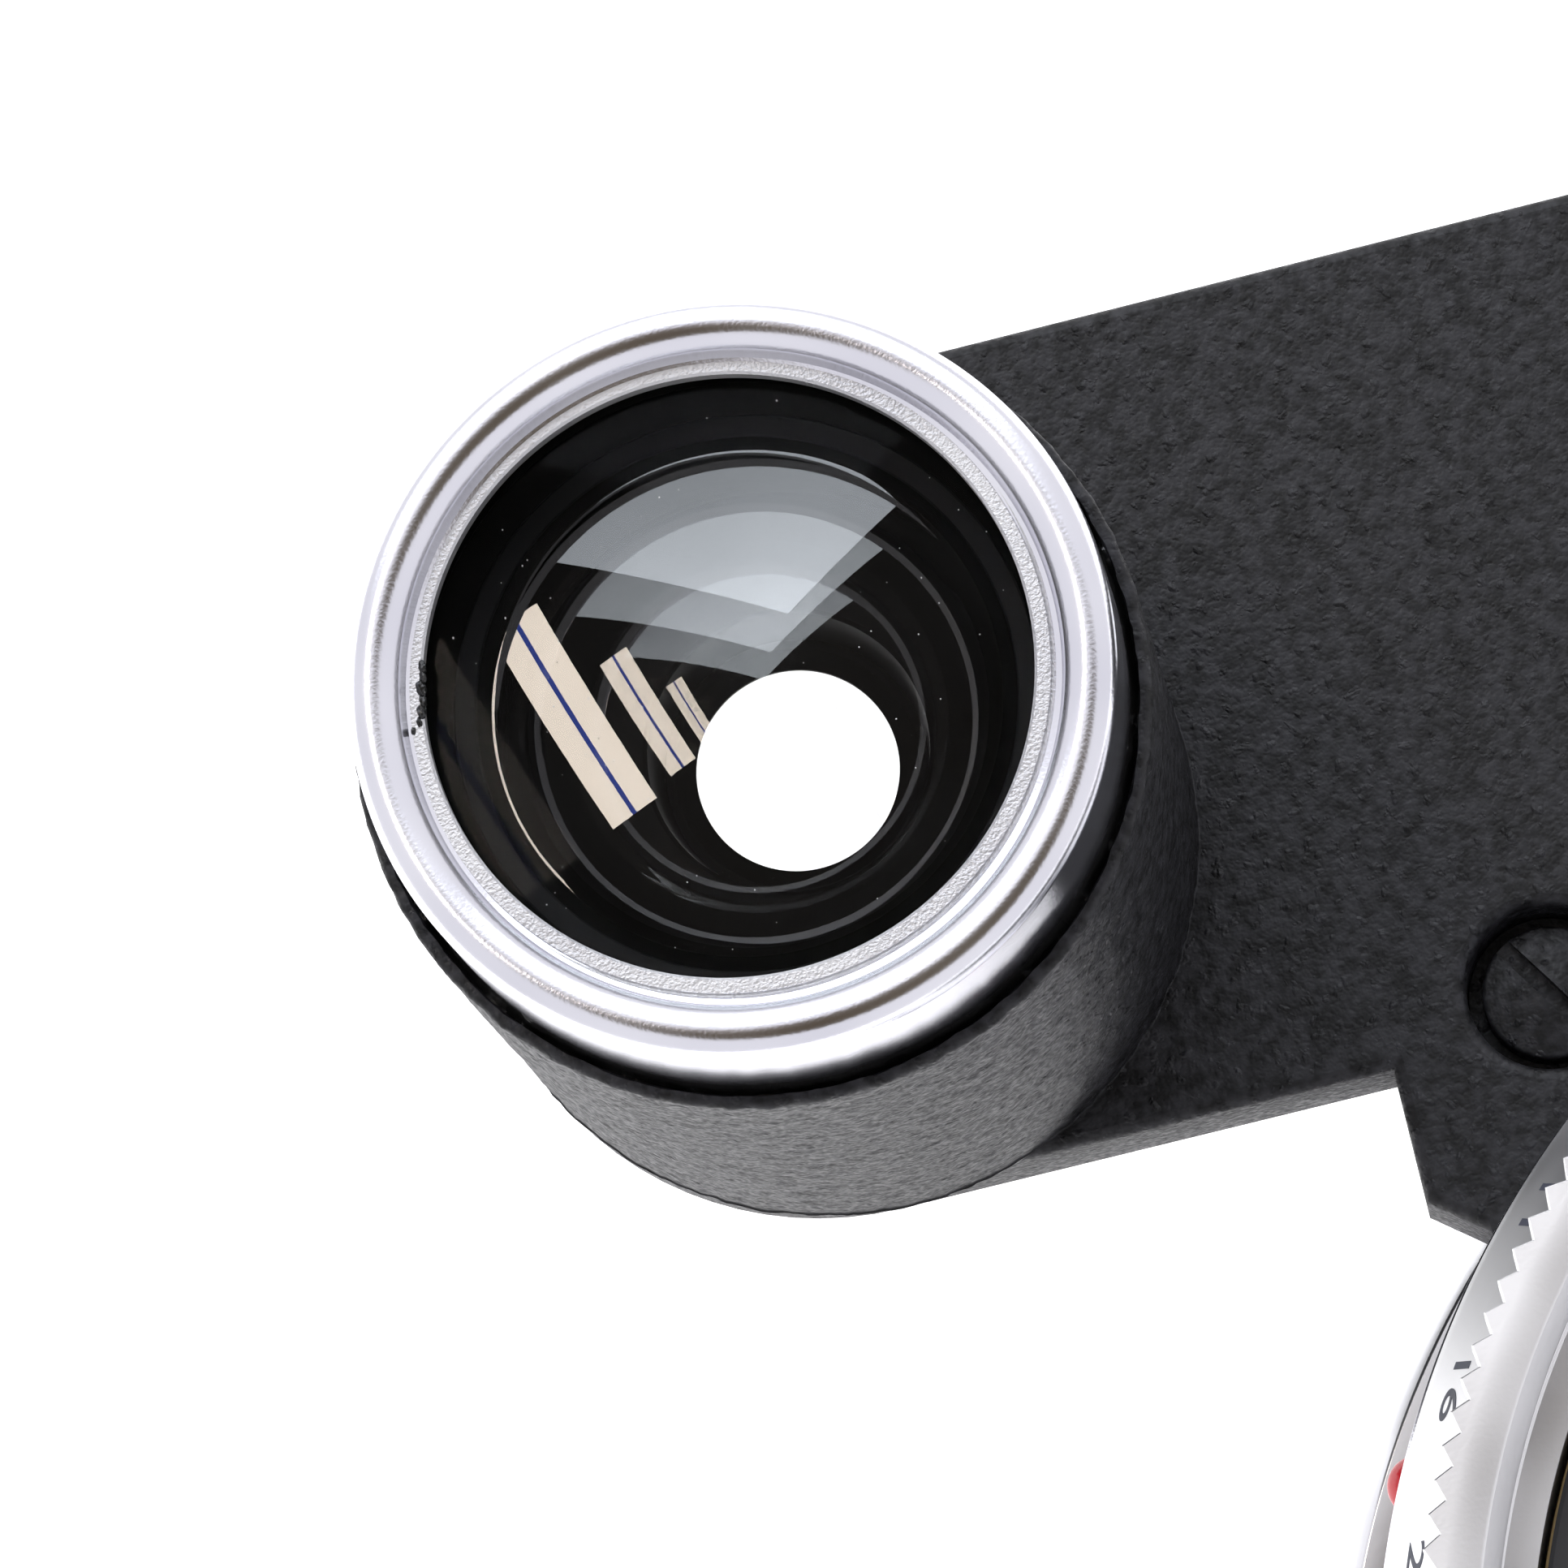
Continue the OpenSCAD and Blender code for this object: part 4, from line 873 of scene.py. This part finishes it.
indexShift = -2.2  # degrees by which the index lines sit off the top
bayonet = {"tubeR": 20.9, "tubeEnd": -5.6, "flangeR": 24.6, "thick": 3, "lugR": 21.9, "lugs": (30, 150, 270),
           "lugTurn": 46, "lugZ": (-3.7, -2.2), "screwAt": 21.95}


def screwHole(at, headR, boreR, depth):
    cone = [(0, -0.5), (headR + 0.52, -0.5), (boreR, headR - boreR + 0.02), (boreR, depth), (0, depth)]
    return turned("hole", cone, at, 48)


indexBead = {"angle": 150.1, "height": 5.2, "radius": 0.77, "from": 21.27, "to": 22.5}


def makeMount():
    v = bayonet
    inner = boxMm("focus_helicoid")[1][0] + 0.3
    outline = roundLoop(
        [(18, v["tubeEnd"]), (v["tubeR"] - 0.35, v["tubeEnd"]), (v["tubeR"], v["tubeEnd"] + 0.45), (v["tubeR"], 0.3),
         (v["tubeR"] + 0.25, 0.3), (v["tubeR"] + 0.25, 0.01), (v["flangeR"] - 0.25, 0.01), (v["flangeR"] - 0.01, 0.25),
         (v["flangeR"] - 0.01, 1.9), (v["flangeR"] - 1.1, v["thick"]), (inner, v["thick"]), (inner, 0.8), (18, 0.8)],
        [0.1, 0.12, 0.12, 0.04, 0.03, 0.05, 0.06, 0.1, 0.15, 0.12, 0.08, 0.08, 0.1], 3)
    body = turned("bayonetMount", outline, (0, 0), 384)
    z0, z1 = v["lugZ"]
    r0, r1 = v["tubeR"] - 0.4, v["lugR"] - 0.01
    lugOutline = roundLoop([(r0, z0), (r1, z0), (r1, z1), (r0, z1)], [0, 0.15, 0.15, 0], 3)
    holes = [screwHole(around(60 * k, v["screwAt"]), 1.02, 0.5, 3.4) for k in range(6)]
    holes += [screwHole(at, 1.32, 0.7, 3.4) for at in screwSpots(nodes["bridge_screws"], 2)]
    body = cutAway(body, holes)
    lugs = [arcBlock("lug", lugOutline, a, a + v["lugTurn"]) for a in v["lugs"]]
    placePiece("bayonetMount", joinMeshes("bayonetMount", [body] + lugs), "mount", "chrome", "bayonet_mount")
    v = indexBead
    outline = [(0, v["from"]), (v["radius"], v["from"]), (v["radius"], v["to"])]
    outline += arcPoints((0, v["to"]), v["radius"], 8, 90, 14)
    bead = turned("indexBead", outline, (0, 0), 64)
    bead.transform(Matrix.Rotation(math.radians(v["angle"]), 4, "Z") @ Matrix.Translation((0, 0, v["height"] * mm))
                   @ Matrix.Rotation(math.radians(90), 4, "Y"))
    placePiece("indexBead", bead, "mount", "red", "index_bead")
    high = boxMm("mount_body")[1]
    r = high[0] - 0.01
    outline = roundLoop([(inner, 3.02), (r - 0.5, 3.02), (r - 0.5, 3.35), (r, 3.6), (r, high[2] - 0.3),
                         (r - 0.3, high[2]), (inner, high[2])], 0.08, 3)
    placeTurned("mountBody", outline, (0, 0), 384, "mount", "satin", "mount_body")


focusRing = {"teeth": 150, "knurlR": 22.2, "depth": 0.34,
             "marks": [(None, 0), (10, 9.1), (5, 18.2), (3, 30.3), (2, 45.5), (1.5, 60.7), (1.2, 75.8), (1, 91),
                       (0.8, 113.8), (0.7, 130)]}  # distance and degrees


def makeFocusRing():
    v = focusRing
    low, high = boxMm("focus_ring")
    inner = boxMm("focus_helicoid")[1][0] + 0.01
    r, z0, z1 = v["knurlR"] - 0.01, low[2] + 0.01, high[2] - 0.01
    steps = [(0.42, 0, 0), (0.3, 0.12, 0), (0.3, 0.44, 0), (0.28, 0.5, 0), (0.1, 0.56, 0.55), (0, 0.72, 1),
             (0, 2.68, 1), (0.1, 2.84, 0.55), (0.3, 2.9, 0), (0.3, 3.06, 0), (0.1, 3.1, 0), (0, 3.2, 0)]  # in, up, bite
    profile = [(inner, z0, 0)] + [(r - inward, z0 + up, bite) for inward, up, bite in steps]
    profile += [(r, z1 - 0.2, 0), (r - 0.06, z1 - 0.06, 0), (r - 0.2, z1, 0), (inner + 0.8, z1, 0),
                (inner + 0.8, z1 - 2.58, 0), (inner, z1 - 2.58, 0)]
    ring = toothed("focusRing", profile, v["teeth"], v["depth"], (0, 0.15, 1, 0.15))
    placePiece("focusRing", ring, "focus", "chrome", "focus_ring")
    marks = []
    for number, turn in v["marks"]:
        label = "∞" if number is None else f"{number:g}"
        marks.append(wrapText(label, 1.9 if number is None else 1.5, 90 + indexShift - turn, z0 + 4.25, lambda z: r))
        marks.append(markLine(90 + indexShift - turn, z1 - 0.55, z1 - 0.2, 0.16, lambda z: r))
    placePiece("focusNumbers", joinMeshes("focusNumbers", marks), "focus", "paint")


def makeScaleRing():
    low, high = boxMm("scale_ring")
    lowR = boxMm("focus_helicoid")[1][0]
    carrierR = boxMm("lens_carrier")[1][0]
    r, z0, z1 = high[0] - 0.01, 14.1, high[2] - 0.01
    outline = [(carrierR + 0.01, z0), (lowR + 0.15, z0), (lowR + 0.15, low[2]), (lowR + 0.7, low[2]), (lowR + 0.7, z0),
               (r - 0.12, z0), (r, z0 + 0.12), (r, z1 - 1.5), (r - 0.05, z1 - 1.45), (r - 0.05, z1 - 1.3),
               (r, z1 - 1.25), (r, z1 - 0.14), (r - 0.14, z1), (carrierR + 0.01, z1)]
    placeTurned("scaleRing", roundLoop(outline, 0.04, 2), (0, 0), 384, "head", "satin", "scale_ring")
    top = 90 + indexShift
    marks = [markLine(top, z0 + 0.2, z0 + 1.7, 0.3, lambda z: r)]
    for number, turn in ((4, 5.5), (5.6, 8), (8, 11.5), (11, 16), (16, 23), (22, 31)):
        for side in (-1, 1):
            marks.append(markLine(top + side * turn, z0 + 0.2, z0 + 1.2, 0.16, lambda z: r))
            if number in (4, 8, 16, 22):
                marks.append(wrapText(f"{number:g}", 1.25, top + side * turn, z0 + 2.05, lambda z: r))
    placePiece("depthMarks", joinMeshes("depthMarks", marks), "head", "paint")


apertureRing = {"teeth": 172, "depth": 0.32, "tipR": 21, "skirtR": 22.05, "neckR": 20.45, "threadPitch": 0.5,
                "numberSize": 1.85,
                "marks": [(2.8, 90), (4, 102), (5.6, 114), (8, 126), (11, 138), (16, 150), (22, 162)]}


def makeApertureRing():
    v = apertureRing
    low, high = boxMm("aperture_ring")
    z0, z1 = low[2] + 0.01, high[2] - 0.01
    skirt, neck, tip = v["skirtR"] - 0.01, v["neckR"], v["tipR"] - 0.01

    def coneR(z):
        return skirt + (neck - skirt) * (z - z0 - 0.5) / (25.3 - z0 - 0.5)

    profile = [(18.56, z0, 0), (skirt - 0.12, z0, 0), (skirt, z0 + 0.12, 0), (skirt, z0 + 0.5, 0)]
    profile += [(coneR(z), z, 0) for z in np.linspace(z0 + 0.9, 25.1, 8)]
    profile += [(neck, 25.3, 0), (neck + 0.02, 25.38, 0), (tip - 0.3, 25.42, 0.3), (tip - 0.08, 25.5, 0.8),
                (tip, 25.62, 1), (tip, z1 - 0.05, 1), (tip - 0.04, z1, 1), (tip - 0.5, z1, 0),
                (19.72, z1, 0), (19.64, z1 - 0.03, 0), (19.34, z1 - 0.34, 0)]
    thread = z1 - 0.5
    while thread > 24.5:
        profile += [(r, thread - drop, 0) for r, drop in ((19.26, -0.06), (19.26, 0.06), (19.5, 0.22), (19.5, 0.28))]
        thread -= v["threadPitch"]
    profile += [(19.4, 23.95, 0), (18.56, 23.91, 0)]
    ring = toothed("apertureRing", profile, v["teeth"], v["depth"], (0, 0.5, 1, 0.5))
    placePiece("apertureRing", ring, "aperture", "bright", "aperture_ring")
    marks = [wrapText(f"{number:g}", v["numberSize"], angle + indexShift, 22.4, coneR) for number, angle in v["marks"]]
    placePiece("apertureNumbers", joinMeshes("apertureNumbers", marks), "aperture", "paint")


frontCell = {"bezelR": 18.34, "inner": 8.7, "glassR": 8.14, "frontCurve": 29.5,
             "hollowCurve": 32.2, "hollowZ": 22.95}


def makeFrontCell():
    v = frontCell
    ridges = []
    for k in range(24):
        r = 10.7 + k * 0.25
        z = 23.63 - 0.42 * (r - 10.7) / 6.1
        ridges += [(r, z), (r + 0.14, z - 0.01), (r + 0.17, z - 0.13), (r + 0.23, z - 0.14)]
    outline = [(v["inner"], 23.26), (9.5, 23.26), (9.5, 22.41), (15.5, 22.41), (15.5, 22.03), (v["bezelR"], 22.03),
               (v["bezelR"], 23.6), (v["bezelR"] - 0.1, 23.69), (17.62, 23.69)] + ridges[::-1] \
        + [(10.5, 23.66), (9.1, 23.8), (8.8, 23.84), (v["inner"], 23.76)]
    placeTurned("frontBezel", outline, (0, 0), 288, "head", "satinBlack", "front_bezel", sharp=25)
    apex = 22.6 + v["frontCurve"] - math.sqrt(v["frontCurve"] ** 2 - v["glassR"] ** 2)
    hollow = v["hollowZ"] - v["hollowCurve"]
    back = [(r, hollow + math.sqrt(v["hollowCurve"] ** 2 - r * r)) for r in np.linspace(0, v["glassR"] - 0.35, 24)]
    outline = [(v["glassR"], 21.91)] + domeArc(v["frontCurve"], apex, v["glassR"], True) \
        + back + [(v["glassR"] - 0.3, 21.91)]
    placeTurned("frontGlass", outline, (0, 0), 192, "head", "coating", "front_element", sharp=20)


makeMount()
makeFocusRing()
makeScaleRing()
makeApertureRing()
makeFrontCell()
print("lens made")

lockSpring = {"angle": 215, "away": 28, "coilR": 1.5, "wireR": 0.11, "turns": 3.5, "low": 8.87, "high": 10.38,
              "pressedShare": 0.21}


def makeLockSpring():  # a coil between the lever and its button
    v = lockSpring
    count, wire, centre = int(28 * v["turns"]), v["wireR"], around(v["angle"], v["away"])
    loops = []
    for k in range(count + 1):
        z = v["low"] + wire + (v["high"] - v["low"] - 2 * wire) * k / count
        loops.append([(*around(360 * v["turns"] * k / count, r, centre), z + up)
                      for r, up in circleOutline((v["coilR"], 0), wire, 10)])
    verts = [point for loop in loops for point in loop]
    faces = [[10 * k + j, 10 * k + (j + 1) % 10, 10 * k + 10 + (j + 1) % 10, 10 * k + 10 + j]
             for k in range(count) for j in range(10)]
    ends = [list(range(10)), list(range(10 * count, 10 * count + 10))]
    mesh = finishMesh("lockSpring", verts, faces + ends, 60)
    spring = placePiece("lockSpring", mesh, "focus", "steel", "lock_spring")
    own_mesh(spring)


makeLockSpring()

# ---- the parts kept as they come from the frame ----

kept = {
    "steel": ["housing_screws", "bridge_screws", "locating_pins", "mount_screws", "helicoid_screws", "lever_screws",
              "scale_screws", "aperture_link", "click_ball", "click_spring"],
    "brass": ["focus_helicoid", "lens_carrier", "guide_key", "rangefinder_cam"],
    "chrome": ["focus_lever", "lock_button", "infinity_catch", "bridge_bracket"],
    "flatBlack": ["iris_base", "iris_drive_ring", "front_cell", "rear_cell"],
    "coating": ["front_doublet", "rear_doublet", "rear_element"],
    "blade": [f"iris_blade_{k + 1}" for k in range(10)],
}
for look, names in kept.items():
    for name in names:
        nodes[name].data.materials.clear()
        nodes[name].data.materials.append(finish[look])
print("frame parts finished")

# ---- setting: floor, room light, lamps, camera ----

shot = {"aim": (-0.029154, 0.026787, 0.030), "distance": 0.178119, "lens": 186.34,
        "turns": (("Y", 0.063), ("X", 0.21), ("Z", -0.23))}
aimTurn = Matrix.Identity(3)
for axis, angle in shot["turns"]:
    aimTurn = aimTurn @ Matrix.Rotation(angle, 3, axis)
lookBack = aimTurn @ Vector((0, 0, 1))


def makeFloor():
    half, level = 1500, -5.7
    corners = [(-half, -half, level), (half, -half, level), (half, half, level), (-half, half, level)]
    floor = finishMesh("floor", corners, [[0, 1, 2, 3]])
    material, tree, shader = newMaterial("paleBoard", Roughness=0.8, Emission_Strength=0.9)
    shader.inputs["Emission Color"].default_value = (1, 1, 1, 1)
    mottle = texture(tree, "ShaderNodeTexNoise", 40.0, 3).outputs["Fac"]
    tree.links.new(mixColour(tree, mottle, (0.88, 0.88, 0.88), (0.92, 0.92, 0.92)), shader.inputs["Base Color"])
    floor.materials.append(material)
    addObject("floor", floor)


room = {"walls": (0.97, 0.96, 1.0), "patch": (0.10, 0.075, 0.045), "patchFrom": 0.90, "patchTo": 0.94,
        "fromGlass": (0.035, 0.032, 0.03)}


def makeRoom():  # an even pale room with a darker patch where the camera stands
    v = room
    world = bpy.data.worlds.new("paleRoom")
    scene.world = world
    world.use_nodes = True
    tree = world.node_tree
    walls = tree.nodes["Background"]
    share = spread(tree, along(tree, "Generated", lookBack), v["patchFrom"], v["patchTo"], 0.0, 1.0)
    seen = mixColour(tree, share, v["walls"], v["patch"])
    fromGlass = tree.nodes.new("ShaderNodeLightPath").outputs["Is Transmission Ray"]  # the room looks dim from there
    tree.links.new(mixColour(tree, fromGlass, seen, v["fromGlass"]), walls.inputs["Color"])
    walls.inputs["Strength"].default_value = 1.0


def lampPanel(name, corners, colour, strength, lit, fade=1.0):  # glows without blocking; fade dims its far end
    mesh = bpy.data.meshes.new(name)
    mesh.from_pydata([tuple(c) for c in corners], [], [[0, 1, 2, 3]])
    material, tree, shader = newMaterial(name + "Glow", Base_Color=(0, 0, 0, 1), Specular_IOR_Level=0, Alpha=0,
                                         Emission_Strength=strength)
    glow, clear, both = (tree.nodes.new(kind) for kind in
                         ("ShaderNodeEmission", "ShaderNodeBsdfTransparent", "ShaderNodeAddShader"))
    cloth = texture(tree, "ShaderNodeTexNoise", 9.0, 0)
    tree.links.new(mixColour(tree, cloth.outputs["Fac"], tuple(0.85 * c for c in colour), colour), glow.inputs["Color"])
    run = (corners[1] + corners[2] - corners[0] - corners[3]) / 2 if fade == 1.0 else corners[2] - corners[0]
    start = corners[0].dot(run) / run.length_squared
    reached = along(tree, "Object", run / run.length_squared)
    level = spread(tree, reached, start + 0.08, start + 0.75, strength, strength * fade)
    tree.links.new(level, glow.inputs["Strength"])
    tree.links.new(glow.outputs[0], both.inputs[0])
    tree.links.new(clear.outputs[0], both.inputs[1])
    tree.links.new(both.outputs[0], tree.nodes["Material Output"].inputs["Surface"])
    tree.nodes.remove(shader)
    mesh.materials.append(material)
    panel = addObject(name, mesh)
    panel.visible_camera = False
    panel.light_linking.receiver_collection = lit


lamps = {"boxNear": (0.03, 0.33, 0.94), "boxLeft": (-0.40, 0.53, 0.75), "boxRight": (0.43, 0.56, 0.71), "boxReach": 1.8,
         "boxStrength": 3.4, "boxFade": 0.25, "glassGain": 1.5, "stripFrom": (-0.365, 0.42, 0.83),
         "stripTo": (-0.265, 0.09, 0.96), "stripWidth": 0.0375, "stripGap": 0.0075, "stripStrength": 8,
         "gapStrength": 2}


def makeLamps():
    v = lamps
    window = Vector((windowAt[0] * mm, windowAt[1] * mm, 0.030))
    near, left, right = (Vector(v[side]).normalized() for side in ("boxNear", "boxLeft", "boxRight"))
    left, right = near + v["boxReach"] * (left - near), near + v["boxReach"] * (right - near)
    box = [near, left, left + right - near, right]
    glasses, rest = bpy.data.collections.new("glasses"), bpy.data.collections.new("rest")
    for piece in scene.objects:
        if piece.type == "MESH":
            isGlass = piece.data.materials and piece.data.materials[0] in (finish["glass"], finish["coating"])
            (glasses if isGlass else rest).objects.link(piece)
    a, b = (Vector(v[end]).normalized() for end in ("stripFrom", "stripTo"))
    side = (b - a).cross(a + b).normalized()
    for lit, gain, away in ((glasses, v["glassGain"], 0.6), (rest, 1, 0.65)):
        lampPanel("softbox", [window + away * p for p in box], (0.86, 0.92, 1.0), v["boxStrength"] * gain, lit,
                  v["boxFade"])
        for sign in (-1, 1):
            inner, outer = sign * v["stripGap"] / 2 * side, sign * (v["stripGap"] / 2 + v["stripWidth"]) * side
            lampPanel("strip", [window + (away + 0.1) * p for p in (a + inner, a + outer, b + outer, b + inner)],
                      (1.0, 0.88, 0.76), v["stripStrength"] * gain, lit)
        gap = v["stripGap"] / 2 * side
        lampPanel("stripGap", [window + (away + 0.1) * p for p in (a - gap, a + gap, b + gap, b - gap)],
                  (0.12, 0.2, 1.0), v["gapStrength"] * gain, lit)


def makeCamera():
    lens = bpy.data.cameras.new("camera")
    lens.lens = shot["lens"]
    lens.sensor_width = 36
    lens.clip_start, lens.clip_end = 0.01, 20
    camera = addObject("camera", lens)
    camera.matrix_world = Matrix.Translation(Vector(shot["aim"]) + shot["distance"] * lookBack) @ aimTurn.to_4x4()
    scene.camera = camera


scene.view_settings.view_transform = "Standard"
makeFloor()
makeRoom()
makeLamps()
makeCamera()
print("setting made")
